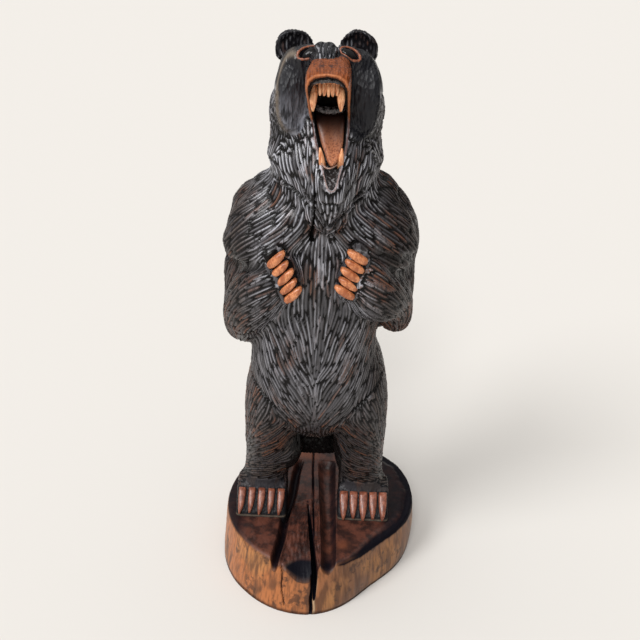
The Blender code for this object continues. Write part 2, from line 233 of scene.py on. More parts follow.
def add_arm(shape, side):
    """Shoulder, upper arm, breast, elbow, forearm and paw; the left elbow hangs lower."""
    add_oval(shape, (side * 0.112 + SHOULDER_SHIFT, 0.012, 0.787 + side * 0.003), (0.083, 0.094, 0.108))
    upper_end, *fore_start = ELBOWS[side]
    for route in (UPPER_ARM, BREAST, (*HUMERUS, upper_end), (*fore_start, *FOREARM)):
        skin_rings(shape, rod_rings(smooth_rows([mirrored(side, p) for p in route], 5), 24, 4))
    add_oval(shape, mirrored(side, (0.076, -0.116, 0.774)), (0.04, 0.042, 0.066), (0, side * 24, 0))


def add_figure(shape):
    """Everything but what the face needs crisp."""
    skin_rings(shape, upright_rings(smooth_rows(TRUNK, 4)))
    skin_rings(shape, upright_rings(WEB, 16))
    for row in MIDDLE_MASSES:
        add_oval(shape, row[:3], row[3:])
    for side in (-1, 1):
        leg = [(z, side * middle + LEG_SHIFT, *rest) for z, middle, *rest in LEG]
        skin_rings(shape, upright_rings(smooth_rows(leg, 4), 32))
        toes = [(side * x + LEG_SHIFT, y, z) for x in (TOES_INNER, TOES_OUTER) for y, z in TOE_BLOCK]
        bmesh.ops.convex_hull(shape, input=[shape.verts.new(p) for p in toes])
        add_arm(shape, side)
        add_side_ovals(shape, side, SIDE_MASSES)
        neck_side = (side * 0.106 + SHOULDER_SHIFT, 0.008, 0.888 + side * 0.003)
        add_oval(shape, neck_side, (0.048, 0.06, 0.038), (0, side * 34, 0))


def settle(piece):
    """Turns what the modifiers make into the piece's own plain mesh."""
    bpy.context.view_layer.update()
    graph = bpy.context.evaluated_depsgraph_get()
    mesh = bpy.data.meshes.new_from_object(piece.evaluated_get(graph))
    piece.modifiers.clear()
    piece.data = mesh


def fuse(piece, voxel, steps):
    """Melts overlapping forms into one skin of small quads, and smooths it."""
    melt = piece.modifiers.new("fuse", "REMESH")
    melt.mode = "VOXEL"
    melt.voxel_size = voxel
    piece.modifiers.new("soften", "SMOOTH").iterations = steps
    settle(piece)


def cut_at(piece, height, keep_above):
    """Saws the piece at a height and closes the cut."""
    shape = bmesh.new()
    shape.from_mesh(piece.data)
    everything = shape.verts[:] + shape.edges[:] + shape.faces[:]
    sides = {"clear_inner": keep_above, "clear_outer": not keep_above}
    bmesh.ops.bisect_plane(shape, geom=everything, plane_co=(0, 0, height), plane_no=(0, 0, 1), **sides)
    bmesh.ops.holes_fill(shape, edges=[edge for edge in shape.edges if len(edge.link_faces) == 1], sides=0)
    shape.to_mesh(piece.data)
    shape.free()


def arrays_of(piece):
    """Places and normals of a piece's points."""
    found = []
    for key in ("co", "normal"):
        values = np.empty(len(piece.data.vertices) * 3, dtype=np.float32)
        piece.data.vertices.foreach_get(key, values)
        found.append(values.reshape(-1, 3))
    return found


def ease(share):
    share = np.clip(share, 0, 1)
    return share * share * (3 - 2 * share)


def swell(piece, amounts):
    """Moves each point out along its normal."""
    places, normals = arrays_of(piece)
    piece.data.vertices.foreach_set("co", (places + normals * np.asarray(amounts)[:, None]).ravel())
    piece.data.update()


figure = new_piece("figure", add_figure)
fuse(figure, ROUGH_VOXEL, ROUGH_SMOOTHING)
# The neck's ruff stands proud of the chest, in two layers that each end in a V.
x, y, z = arrays_of(figure)[0].T
edge = np.interp(x, *np.array(RUFF_EDGE).T)
front = ease((-y - 0.005) / 0.03) * ease((1.03 - z) / 0.06)
layers = ease((z - edge) / 0.007) + 0.6 * ease((z - edge - RUFF_LAYER) / 0.006)
swell(figure, RUFF_STEP * layers * front)

# ------------------------------------------------------------
# The head, from the neck up, cut more finely than the rest: ears, brow, eye hollows, muzzle and jaw.
# The same wood. The open mouth is cut out as one hollow, whose edge makes the lips.

NECK_CUT = 0.935
HEAD_ROUGH_VOXEL, HEAD_VOXEL = 0.0028, 0.0019 * DRAFT
# Upright sections of muzzle and jaw: Y, height of the middle, half width, half height.
MUZZLE = metres(
    (-50, 1112, 38, 64), (-90, 1114, 38, 65), (-120, 1126, 37, 53.5), (-150, 1141, 37.5, 38.5),
    (-172, 1150, 38, 28), (-184, 1154, 37.8, 21.5), (-192, 1157, 36.5, 16.5), (-197, 1159, 34, 12),
    (-199, 1160, 30, 8.5),
)
JAW = metres(
    (-60, 1000, 56, 70), (-100, 996, 53, 62), (-135, 980, 46, 44), (-162, 967, 34, 32), (-180, 960, 24, 24),
    (-192, 957, 13, 14),
)
# Half the outline of the mouth's hollow, at its front and then at its back.
MOUTH = metres(
    (0, -215, 1176), (19, -215, 1173), (30.5, -215, 1165.5), (34.5, -215, 1155), (34.5, -200, 1100),
    (32.5, -190, 1060), (26.5, -195, 1030), (19.5, -205, 1003), (4.5, -213, 967), (0, -215, 957),
    (0, -56, 1098), (20, -56, 1092), (30, -60, 1066), (26, -66, 1040), (0, -70, 1026),
)
# The hollow is narrower on the right, where the lip is thicker.
RIGHT_SHARE = 0.92
# Half an ear's section, from its hollow's middle over the rim to its back: radius, how far back.
EAR_PROFILE = metres(
    (15, -5), (25, -7), (30, -10.5), (33.5, -13), (36, -11.5), (37.2, -6), (35.5, 4), (28, 12), (14, 16)
)
EYES = ((-1, (-0.0358, -0.084, 1.1785), 33), (1, (0.0408, -0.084, 1.18), 31))
EYE_LONG, EYE_SHORT = 0.019, 0.011
DOME_MIDDLES, DOME_RADII = (-0.0115, 0.0025), (0.0205, 0.052, 0.0345)
# The cheek lobe's oval: its middle, half its width and its height below and above the middle.
LOBE_MIDDLE, LOBE_HALF, LOBE_TALL = (0.062, 1.094), (0.029, 0.064), 0.078


# Cheek lobe, brow that holds the eye's hollow, and two cheek masses, in rows as for add_side_ovals.
FACE_MASSES = (
    (61.5, 4, -45, 1086, 33, 62, 78, 4, 16),
    (41, -1, -63, 1161, 34, 26, 24, 24, 10),
    (50, 0, -54, 1120, 38, 38, 60, 6, 20),
    (55, 3, -50, 1098, 37, 53, 64, 4, 16),
)


def lean(z):
    """How far the tilted face has moved to the right at this height."""
    return (1.17 - z) * 0.0875 + 0.0012 - 0.08 * np.maximum(0.0, 1.0 - z)


def forward_rings(sections):
    """Rings for upright sections of (Y, height of the middle, half width, half height)."""
    outline = squircle(36, 4.4)
    return [[(lean(z) + half * a, y, z + tall * b) for a, b in outline] for y, z, half, tall in sections]


def add_ear(shape, side):
    """A thick disc, a little hollow in front, turned a little outwards."""
    place = placed((side * 0.0595 - 0.003, 0.024 + side * 0.003, 1.1602 + side * 0.0006), (4, 0, -side * 8))
    rings = []
    for radius, back in EAR_PROFILE:
        ring = []
        for turn in (2 * pi * i / 48 for i in range(48)):
            wobble = 1 + 0.02 * cos(3 * turn + side) + 0.014 * cos(5 * turn - side * 2)
            wide, tall = radius * wobble, radius * wobble * 0.985
            ring.append(place @ Vector((wide * cos(turn), back, tall * sin(turn))))
        rings.append(ring)
    skin_rings(shape, rings)


def add_crisp_head(shape):
    """Muzzle, jaw, cheeks, brows and ears, as they are added to the fused head."""
    skin_rings(shape, forward_rings(smooth_rows(MUZZLE, 5)))
    skin_rings(shape, forward_rings(smooth_rows(JAW, 5)))
    for side in (-1, 1):
        add_ear(shape, side)
        add_side_ovals(shape, side, FACE_MASSES)


def add_dome(shape):
    """The forehead, between the eyes and over the root of the muzzle."""
    for x in DOME_MIDDLES:
        add_oval(shape, (x, -0.082, 1.16), DOME_RADII, (3, 0, 0))


def wrap(shape, points):
    """The tight skin around the points."""
    for point in points:
        shape.verts.new(point)
    bmesh.ops.convex_hull(shape, input=shape.verts)
    bmesh.ops.delete(shape, geom=[v for v in shape.verts if not v.link_faces], context="VERTS")


def add_mouth(shape):
    wrap(shape, [(lean(z) + share * x, y, z) for x, y, z in MOUTH for share in (-1, RIGHT_SHARE)])


def surface_of(piece):
    """A piece's faces, ready to be looked up."""
    shape = bmesh.new()
    shape.from_mesh(piece.data)
    found = BVHTree.FromBMesh(shape)
    shape.free()
    return found


def eye_axes(side, slope):
    """The way the eye looks, and its long and short ways across."""
    out = Vector((side * 0.34, -0.74, 0.6)).normalized()
    along = Vector((side * cos(radians(slope)), 0, -sin(radians(slope))))
    along = (along - out * along.dot(out)).normalized()
    up = along.cross(out)
    return out, along, up if up.z > 0 else -up


def almond(side, middle, slope, scale=1.0, count=44):
    """Points around an eye: two arcs that meet in corners."""
    out, along, up = eye_axes(side, slope)
    points = []
    for turn in (2 * pi * i / count for i in range(count)):
        high = sin(turn) * (1 - 0.2 * cos(turn) ** 2) * (1.06 if sin(turn) > 0 else 0.94)
        points.append(Vector(middle) + scale * (along * EYE_LONG * cos(turn) + up * EYE_SHORT * high))
    return points


def add_eye_hollow(shape, side, middle, slope):
    out = eye_axes(side, slope)[0]
    levels = ((1.02, 0.02), (0.95, 0.0), (0.62, -0.0095))
    wrap(shape, [p + out * depth for scale, depth in levels for p in almond(side, middle, slope, scale)])


def join_meshes(target, other):
    """Puts the other's mesh into the target's, and removes it."""
    shape = bmesh.new()
    shape.from_mesh(target.data)
    shape.from_mesh(other.data)
    bpy.data.objects.remove(other)
    shape.to_mesh(target.data)
    shape.free()


def hollow_out(target, name, mesh_maker):
    cutter = new_piece(name, mesh_maker)
    boolean = target.modifiers.new(name, "BOOLEAN")
    boolean.solver = "EXACT"
    boolean.object = cutter
    settle(target)
    bpy.data.objects.remove(cutter)


def note(mesh, **values):
    """Notes numbers at a mesh's points, for its finish."""
    for name, numbers in values.items():
        kept = mesh.attributes.new(name, "FLOAT", "POINT").data
        kept.foreach_set("value", np.ascontiguousarray(numbers, dtype=np.float32))


head = copy_of(figure, "head")
cut_at(head, NECK_CUT - 0.03, True)
join_meshes(head, new_piece("crisp", add_crisp_head))
fuse(head, HEAD_ROUGH_VOXEL, 2)
hollow_out(head, "mouth", add_mouth)
brow = surface_of(head)
eye_seats = []
for side, middle, slope in EYES:
    out = eye_axes(side, slope)[0]
    hit = brow.ray_cast(Vector(middle) + out * 0.04, -out)[0]
    eye_seats.append((side, hit, slope))
    hollow_out(head, "eye_hollow", lambda shape: add_eye_hollow(shape, side, hit, slope))
join_meshes(head, new_piece("dome", add_dome))
fuse(head, HEAD_VOXEL, 3)

mouth_shape = new_piece("mouth_shape", add_mouth)
mouth_walls = surface_of(mouth_shape)
bpy.data.objects.remove(mouth_shape)
head_places = arrays_of(head)[0]
from_mouth = np.array([mouth_walls.find_nearest(Vector(p))[3] for p in head_places])
x, y, z = head_places.T
off = np.abs(x - lean(z))
# The lips are rolled over a little, and the cheek lobes are dished inside a raised edge.
lip_width = 0.0062 - 0.002 * ease((1.03 - z) / 0.03)
lip = ease((from_mouth - 0.001) / 0.0012) * ease((lip_width - from_mouth) / 0.002)
lip *= ease((-y - 0.088) / 0.01) * (off < 0.05)
lobe_height = np.where(z > LOBE_MIDDLE[1], LOBE_TALL, LOBE_HALF[1])
across = (np.abs(x - 0.004) - LOBE_MIDDLE[0]) / LOBE_HALF[0]
lobe = np.sqrt(across**2 + ((z - LOBE_MIDDLE[1]) / lobe_height) ** 2)
lobe = np.where(y < -0.005, lobe, 3.0)
dish = 0.0012 * (1 - ease((lobe - 0.25) / 0.68)) - 0.0022 * (1 - ease((lobe - 0.97) / 0.1))
gone = ease((off - 0.038) / 0.008)
swell(head, 0.0008 * lip - dish * gone)
# A pale tan strip along the left cheek's raised rim: the wood's wear, and a painted highlight where the rim
# faces the light.
tan_rim_and_highlight = np.exp(-(((lobe - 1.01) / (0.15 - 0.09 * ease((z - 1.1) / 0.03))) ** 2))
tan_rim_and_highlight *= ease((-x - 0.046) / 0.012) * ease((z - 1.028) / 0.02)
on_dome = np.minimum(*(
    sum(((p - at) / radius) ** 2 for p, at, radius in zip((x, y, z), (middle, -0.082, 1.16), DOME_RADII))
    for middle in DOME_MIDDLES
))
bare = ease((-y - 0.104) / 0.002) * ease((on_dome - 1.08) / 0.08) * ease((z - 1.062) / 0.006) * (off < 0.052)
inside = ease((0.0016 - from_mouth) / 0.0008) * (off < 0.04) * (y > -0.196)
sooty = np.maximum(1 - ease((lobe - 0.94) / 0.08), ease((z - 1.105) / 0.02) * ease((0.06 - y) / 0.02))
at_ear = np.hypot(np.abs(x + 0.003) - 0.0595, z - 1.163)
sooty *= 1 - 0.5 * (1 - ease((at_ear - 0.034) / 0.006)) * ease((y - 0.004) / 0.004)
# Two darker smudges stand for the nostrils.
smudge = sum(np.exp(-(((x - at) / 0.0046) ** 2) - ((y + 0.17) / 0.006) ** 2) for at in (-0.0085, 0.0075))
note(head.data, bare=bare, lip=lip, mouth=inside, worn=tan_rim_and_highlight * gone, sooty=sooty, smudge=smudge)

# ------------------------------------------------------------
# The fur, cut into the wood with a gouge: thousands of single strokes side by side, following the coat.
# Strokes are traced over the roughed-out figure along a few dozen set directions, then cut by Geometry Nodes.

BODY_VOXEL = 0.00207 * DRAFT
STROKE_STEP, STROKE_CELL, STROKE_SEEDS = 0.004, 0.009, 16000
# In shares of the gap between strokes: how far beside a stroke the next is tried, how near to another it may
# start and come, and how much the gap varies. BEND is how far the hand strays from the coat's way.
NEXT_AT, START_ROOM, RUN_ROOM, GAP_VARIES, BEND = 1.03, 0.82, 0.36, 0.3, 0.05
LOCK_TAPER, CREASE_TAPER, GUIDE_RATIO = 0.009, 0.006, 0.25
# Fur ends under the claws: how far along their reach, and how near.
CLAW_REACH, CLAW_ROOM = 0.42, 0.025
# The way the coat lies: place, then direction in hundredths. Each holds for both sides, mirrored.
COAT = (
    # head, neck and nape
    (0, -100, 1185, 0, 95, 25), (20, -90, 1180, 55, 80, 0), (50, -40, 1175, 50, 80, -10),
    (0, 0, 1180, 0, 100, -10), (40, 60, 1120, 30, 40, -87), (0, 90, 1060, 0, 10, -100),
    (95, 30, 1080, 25, 35, -90), (107, -40, 1060, 60, -20, 75), (100, -60, 1020, 35, -30, 85),
    (60, -120, 1000, -40, -25, -88), (110, 0, 1000, 5, -20, -98), (90, 70, 1000, 10, 5, -100),
    (30, -140, 930, -55, 0, -83), (80, -110, 950, -40, -20, -90), (0, -140, 900, 0, 0, -100),
    (18, -130, 880, -50, 0, -87),
    # breast and shoulder
    (50, -130, 890, 25, 0, -97), (85, -110, 900, 60, 10, -80), (45, -130, 850, 75, 0, -66),
    (90, -130, 840, 82, 5, -57), (130, -110, 820, 80, 15, -58), (165, -70, 830, 55, 30, -78),
    (120, -20, 920, 75, -5, -66), (130, 40, 900, 65, 15, -75), (195, 0, 790, 10, 25, -96),
    (180, 60, 780, 5, 10, -100), (195, 10, 700, 0, 10, -100), (180, -30, 610, -10, -20, -97),
    # forearm and paw
    (80, -160, 780, 90, 5, -40), (110, -150, 750, 86, 15, -50), (130, -130, 700, 74, 20, -64),
    (170, -90, 690, 50, 45, -74), (145, -110, 650, 52, 20, -83), (115, -130, 680, 66, 10, -75),
    (150, -60, 600, 30, 20, -93),
    # chest and belly
    (0, -125, 780, 0, 0, -100), (35, -125, 760, -12, 0, -100), (0, -125, 640, 0, 0, -100),
    (30, -130, 640, -42, 0, -90), (80, -120, 620, -52, -10, -85), (120, -80, 600, -28, -30, -91),
    (20, -135, 540, -60, 0, -80), (70, -130, 520, -56, 0, -83), (115, -90, 500, -36, -30, -88),
    (20, -130, 440, -52, 0, -85), (60, -115, 430, -66, 5, -75), (140, 0, 600, 0, 5, -100),
    (140, 50, 720, 0, 10, -100),
    # thigh, shin and heel
    (125, -80, 440, 50, 10, -86), (90, -90, 370, 66, 5, -75), (145, -20, 430, 28, 25, -93),
    (150, 40, 400, 5, 20, -98), (55, -60, 320, 62, 10, -78), (100, -60, 290, 80, 5, -60),
    (145, -10, 280, 60, 35, -70), (100, -30, 220, 97, 0, -25), (150, 10, 210, 60, 60, -50),
    (160, 60, 250, 10, 30, -95), (110, 100, 250, 0, 10, -100), (0, 90, 250, 0, 0, -100),
    # back
    (0, 125, 900, 0, 0, -100), (70, 125, 850, 45, 0, -89), (0, 125, 650, 0, 0, -100),
    (70, 120, 650, 40, 0, -92), (0, 150, 480, 0, 0, -100), (70, 135, 480, 42, 0, -91),
    # ears
    (59, 0, 1160, 5, 0, -100), (59, 30, 1160, 0, 15, -99),
)
# Creases between the masses, and the drying check in throat and chest: half width, depth, darkness, points.
# The darkness along the creases between the masses and under the ruff's edges is painted shade; the check's is
# its own black.
CREASES = (
    (0.0165, 0.007, 0.8, metres(
        (-197, -10, 748), (-165, -70, 762), (-133, -100, 780), (-95, -125, 797), (-64, -130, 822)
    )),
    (0.0175, 0.008, 0.8, metres(
        (55, -130, 838), (85, -125, 826), (113, -115, 818), (150, -80, 802), (190, -20, 786)
    )),
    (0.0045, 0.005, 1.0, metres(
        (-148, -40, 492), (-120, -80, 478), (-88, -105, 450), (-57, -110, 421), (-20, -110, 396)
    )),
    (0.0045, 0.005, 1.0, metres(
        (152, -40, 500), (128, -75, 484), (96, -105, 455), (64, -110, 421), (30, -110, 396)
    )),
    (0.005, 0.005, 1.0, [(x, -0.12, z - 0.003) for x, z in RUFF_EDGE[1:-1]]),
    (0.0042, 0.0035, 1.0, [(x + 0.003, -0.12, z + RUFF_LAYER - 0.003) for x, z in RUFF_EDGE[2:-2]]),
    (0.0044, 0.009, 2.6, metres((-17, -190, 984), (-16, -180, 965), (-16, -160, 930), (-15.5, -140, 895))),
    (0.003, 0.009, 2.6, metres((-15.5, -130, 895), (-16.4, -120, 860), (-15.5, -115, 830))),
)
# The forehead's ridges: coarse cuts that spread from the root of the muzzle. Each from (x, y) to (x, y).
FOREHEAD = metres(
    (-20.5, -113, -29, -80), (-13.5, -126, -20, -64), (-6, -129, -9, -60), (1.5, -130, 2, -60),
    (8.5, -126, 13, -62), (15, -118, 22.5, -72),
)
# Gap between strokes, shortest and longest stroke, and depth, for each part of the coat.
BODY_CUT, ARM_CUT = (0.0068, 0.044, 0.15, 0.0034), (0.007, 0.044, 0.14, 0.0035)
LEG_CUT, SHIN_CUT = (0.0068, 0.034, 0.11, 0.003), (0.007, 0.036, 0.09, 0.0026)
NAPE_CUT, RUFF_CUT = (0.0078, 0.03, 0.09, 0.0036), (0.0068, 0.012, 0.024, 0.0028)
BROW_CUT, EAR_CUT = (0.0085, 0.014, 0.034, 0.0018), (0.007, 0.014, 0.032, 0.0014)
# The roots of a paw's first and last claw, and the way the claws reach.
PAW_ROWS = (
    metres((-93, -147, 798), (-60, -147, 726), (29, -1, 29)),
    metres((85, -147, 813), (64.6, -147, 739), (-33, -1, 23)),
)
DOME = (-0.003, -0.09, 1.165), (0.036, 0.048, 0.038)


def coat_directions(places, normals, surface):
    """The way the coat lies at each place: a blend of the set directions, laid flat on the surface."""
    blend = np.zeros_like(places)
    for x, y, z, *way in COAT:
        for side in (-1, 1):
            spot = (side * x / 1000, y / 1000, z / 1000)
            face = np.array(surface.find_nearest(Vector(spot))[1])
            apart = ((places - spot) ** 2).sum(1) + 0.018**2
            alike = np.clip(normals @ face, 0.02, 1)
            blend += (alike**2 / apart**2)[:, None] * (np.array(mirrored(side, way)) / 100)
    blend -= (blend * normals).sum(1)[:, None] * normals
    return blend / np.linalg.norm(blend, axis=1)[:, None]


def in_oval(place, middle, radii):
    return sum(((place[i] - middle[i]) / radii[i]) ** 2 for i in range(3)) < 1


def near_claws(place):
    """Whether a place lies under the claws of a paw."""
    for first, last, reach in PAW_ROWS:
        first, last = (Vector(end) + Vector(reach) * CLAW_REACH for end in (first, last))
        along = last - first
        share = min(max((place - first).dot(along) / along.length_squared, 0), 1)
        if (place - first - along * share).length < CLAW_ROOM:
            return True
    return False


def cut_for(place):
    """How the fur is cut at this place, or None where the wood is left smooth."""
    x, y, z = place
    side = 1 if x > 0 else -1
    off = abs(x - lean(z))
    if z < 0.128 or (z < 0.196 and y < 0.0 and abs(x - LEG_SHIFT) > 0.05):
        return None
    if z > 0.945 and off < 0.06 and mouth_walls.find_nearest(place)[3] < (0.0065 if z > 1.04 else 0.009):
        return None
    if z > 0.955:
        smooth = (
            ((side * 0.062 + 0.004, -0.05, 1.098 if z < 1.098 else 1.11), (0.036, 0.076, 0.076)),
            ((side * 0.039, -0.08, 1.172), (0.03, 0.03, 0.026)),
            DOME,
        )
        if (y < -0.11 and z > 1.06 and off < 0.052) or any(in_oval(place, *oval) for oval in smooth):
            return None
        if in_oval(place, (side * 0.06, 0.024, 1.16), (0.041, 0.026, 0.041)):
            return EAR_CUT
        if y < -0.02 and z > 1.12:
            return BROW_CUT
        if in_oval(place, (side * 0.067 + 0.004, -0.04, 1.09), (0.054, 0.08, 0.104)):
            return RUFF_CUT
    if z > 0.875:
        return NAPE_CUT
    if near_claws(place):
        return None
    if z < 0.4:
        return SHIN_CUT if z < 0.24 else LEG_CUT
    return ARM_CUT if abs(x) > 0.11 or (y < -0.13 and z > 0.6) else BODY_CUT


class StrokeGrid(dict):
    """Remembers where strokes run, in cells of space, so that a new one keeps its distance."""

    def add(self, place):
        self.setdefault(tuple(int(c // STROKE_CELL) for c in place), []).append(tuple(place))

    def crowded(self, place, gap):
        a, b, c = (int(c // STROKE_CELL) for c in place)
        px, py, pz = place
        limit = gap * gap
        for i in (a - 1, a, a + 1):
            for j in (b - 1, b, b + 1):
                for k in (c - 1, c, c + 1):
                    for x, y, z in self.get((i, j, k), ()):
                        if (x - px) ** 2 + (y - py) ** 2 + (z - pz) ** 2 < limit:
                            return True
        return False


def trace_strokes(surface, seeds, least):
    """Strokes over the surface: each starts beside the last ones and stops where it meets another."""
    made = []
    waiting = list(seeds)
    draw.shuffle(waiting)
    while waiting:
        place, normal, face, _ = surface.find_nearest(waiting.pop())
        cut = cut_for(place)
        if cut is None:
            continue
        gap, shortest, longest, depth = cut
        gap *= 1 + GAP_VARIES * turbulence.noise(place * 16)
        if stroke_grid.crowded(place, gap * START_ROOM):
            continue
        reach = shortest + (longest - shortest) * draw.random() ** 0.7
        halves = []
        for sign, share in ((1, 0.6), (-1, 0.4)):
            half = []
            here, at = place, face
            bend = draw.gauss(0, BEND)
            for i in range(int(reach * share / STROKE_STEP)):
                way = coat_ways[at] * sign
                way = (way + surface_normals[at].cross(way) * bend).normalized()
                there, _, at_next, _ = surface.find_nearest(here + way * STROKE_STEP)
                if cut_for(there) is None or stroke_grid.crowded(there, gap * RUN_ROOM):
                    break
                here, at = there, at_next
                half.append((here, at))
            halves.append(half)
        line = [*reversed(halves[1]), (place, face), *halves[0]]
        if len(line) * STROKE_STEP < shortest * least:
            continue
        for spot, _ in line:
            stroke_grid.add(spot)
        made.append(([spot for spot, _ in line], gap, depth))
        for spot, at in line[::3]:
            beside = surface_normals[at].cross(coat_ways[at]) * gap * NEXT_AT
            waiting += [spot + beside, spot - beside]
    return made


def lines_object(name, taper, lines):
    """Lines as a mesh of edges: each is its points, half width, depth and tint; their ends taper."""
    places, edges, depths, widths, tints = [], [], [], [], []
    for spots, wide, deep, tint in lines:
        first = len(places)
        finer = [spots[0]]
        for start, end in zip(spots, spots[1:]):
            finer += [start.lerp(end, 0.5), end]
        count = len(finer)
        ends = (min(i + 0.3, count - i - 0.7) * STROKE_STEP / 2 / taper for i in range(count))
        widths += [wide * min(1.0, end) ** 0.75 for end in ends]
        places += finer
        depths += [deep] * count
        tints += [tint] * count
        edges += [(i, i + 1) for i in range(first, first + count - 1)]
    mesh = bpy.data.meshes.new(name)
    mesh.from_pydata(places, edges, [])
    note(mesh, depth=depths, half_width=widths, tint=tints)
    return put(name, mesh)


rough = copy_of(head, "rough")
cut_at(rough, NECK_CUT, True)
lower = copy_of(figure, "lower")
cut_at(lower, NECK_CUT, False)
rough.modifiers.new("thin", "DECIMATE").ratio = GUIDE_RATIO
settle(rough)
join_meshes(rough, lower)
guide_places = arrays_of(rough)[0]
guide_faces = [face.vertices[:] for face in rough.data.polygons]
surface = BVHTree.FromPolygons([Vector(p) for p in guide_places], guide_faces)
middles = np.array([guide_places[list(face)].mean(0) for face in guide_faces])
face_normals = np.array([face.normal[:] for face in rough.data.polygons])
surface_normals = [Vector(n) for n in face_normals]
coat_ways = [Vector(w) for w in coat_directions(middles, face_normals, surface)]
bpy.data.objects.remove(rough)
draw = random.Random(7)
seeds = [Vector(middles[i]) for i in draw.sample(range(len(middles)), min(STROKE_SEEDS, len(middles)))]

# Creases and ridges are laid first, and the strokes keep clear of the narrow ones.
creases = []
for half_width, depth, tint, route in CREASES:
    spots = []
    for x, y, z in smooth_rows(route, 9):
        found = surface.ray_cast(Vector((x, -0.5, z)), Vector((0, 1, 0)))[0]
        if found is None or abs(found.y - y) > 0.05:
            found = surface.find_nearest(Vector((x, y, z)))[0]
        spots.append(found)
    creases.append((spots, half_width, depth, tint))
for x0, y0, x1, y1 in FOREHEAD:
    tops = (Vector((x0 + (x1 - x0) * i / 16, y0 + (y1 - y0) * i / 16, 1.25)) for i in range(17))
    found = (surface.ray_cast(top, Vector((0, 0, -1)))[0] for top in tops)
    creases.append(([spot for spot in found if spot is not None], 0.0037, 0.0042, 1.0))
stroke_grid = StrokeGrid()
for spots, half_width, *_ in creases:
    for spot in spots if half_width < 0.01 else ():
        stroke_grid.add(spot)
# Long strokes first, then short ones in the gaps between their ends.
strokes = []
for least in (0.6, 0.3, 0.13):
    strokes += trace_strokes(surface, seeds, least)
locks = [(spots, gap * draw.uniform(0.5, 0.68), depth, draw.random()) for spots, gap, depth in strokes]
lock_lines = lines_object("locks", LOCK_TAPER, locks)
crease_lines = lines_object("creases", CREASE_TAPER, creases)


class Wire:
    """A node's output. Sums with it add Math nodes, | takes the greater, and wire[name] is another output."""

    def __init__(self, socket):
        self.socket = socket
        self.tree = socket.id_data

    def __getitem__(self, name):
        return Wire(self.socket.node.outputs[name])

    def step(self, operation, *others, **settings):
        inputs = enumerate((self, *others))
        return add_node(self.tree, "ShaderNodeMath", inputs, operation=operation, **settings)

    def __add__(self, other):
        return self.step("ADD", other)

    def __sub__(self, other):
        return self.step("SUBTRACT", other)

    def __rsub__(self, other):
        return add_node(self.tree, "ShaderNodeMath", {0: other, 1: self}, operation="SUBTRACT")

    def __mul__(self, other):
        return self.step("MULTIPLY", other)

    def __pow__(self, other):
        return self.step("POWER", other)

    def __or__(self, other):
        return self.step("MAXIMUM", other)


def plug(value, socket):
    """Links a wire to a socket, or sets it to a plain value."""
    if isinstance(value, Wire):
        value.tree.links.new(value.socket, socket)
    else:
        socket.default_value = (*value, 1) if socket.type == "RGBA" else value


def add_node(tree, kind, inputs=(), **settings):
    """A node with its settings and its inputs by name or number; returns its first output."""
    made = tree.nodes.new(kind)
    for key, value in settings.items():
        setattr(made, key, value)
    for key, value in dict(inputs).items():
        plug(value, made.inputs[key])
    return Wire(made.outputs[0]) if made.outputs else None


def ramp(source, low, high):
    """0 below low, 1 above high, smooth between."""
    inputs = {"Value": source, "From Min": low, "From Max": high}
    return add_node(source.tree, "ShaderNodeMapRange", inputs, interpolation_type="SMOOTHSTEP")


def new_group(name, kind, inputs, outputs):
    """A node group: its tree, a wire from its inputs, and its sockets' identifiers by name."""
    tree = bpy.data.node_groups.new(name, kind)
    keys = {}
    for way, sockets in (("INPUT", inputs), ("OUTPUT", outputs)):
        for title, sort in sockets.items():
            made = tree.interface.new_socket(name=title, in_out=way, socket_type="NodeSocket" + sort)
            keys[title] = made.identifier
    return tree, add_node(tree, "NodeGroupInput"), keys


def end_group(geometry, finish, title):
    """Makes what a group has built real, gives it its finish, and hands it out."""
    whole = add_node(geometry.tree, "GeometryNodeRealizeInstances", {"Geometry": geometry})
    painted = add_node(geometry.tree, "GeometryNodeSetMaterial", {"Geometry": whole, "Material": finish})
    add_node(geometry.tree, "NodeGroupOutput", {title: painted})


def run_group(piece, tree, keys, values):
    """Runs a Geometry Nodes group on a piece, with its named inputs set, and keeps the result."""
    laid = piece.modifiers.new(tree.name, "NODES")
    laid.node_group = tree
    for title, value in values.items():
        laid[keys[title]] = value
    settle(piece)


def nearest_line(lines):
    """The distance to the nearest of the lines, and a way to read what is noted on it."""
    found = add_node(lines.tree, "GeometryNodeObjectInfo", {"Object": lines})["Geometry"]
    near = add_node(lines.tree, "GeometryNodeProximity", {"Geometry": found}, target_element="EDGES")
    index = add_node(lines.tree, "GeometryNodeSampleNearest", {"Geometry": found}, domain="POINT")

    def noted(name):
        value = add_node(lines.tree, "GeometryNodeInputNamedAttribute", {"Name": name}, data_type="FLOAT")
        inputs = {"Geometry": found, "Value": value, "Index": index}
        return add_node(lines.tree, "GeometryNodeSampleIndex", inputs, data_type="FLOAT", domain="POINT")

    return near["Distance"], noted


# Cuts the hollows between the locks and the creases into a surface, and notes how deep and of what tint.
fur_tree, ends, fur_keys = new_group(
    "cut_fur",
    "GeometryNodeTree",
    {"Wood": "Geometry", "Locks": "Object", "Creases": "Object", "Waviness": "Float", "Finish": "Material"},
    {"Carving": "Geometry"},
)
# A lock stands up along its line and falls away to both sides; beyond the coat's edge the wood is left whole.
distance, of_lock = nearest_line(ends["Locks"])
in_coat = 1.0 - ramp(distance, 0.0038, 0.0058)
hollow = distance.step("DIVIDE", of_lock("half_width"), use_clamp=True) ** 1.35 * in_coat
# Some locks stand lower than others.
low = (1.0 - of_lock("tint")) * (in_coat - hollow)
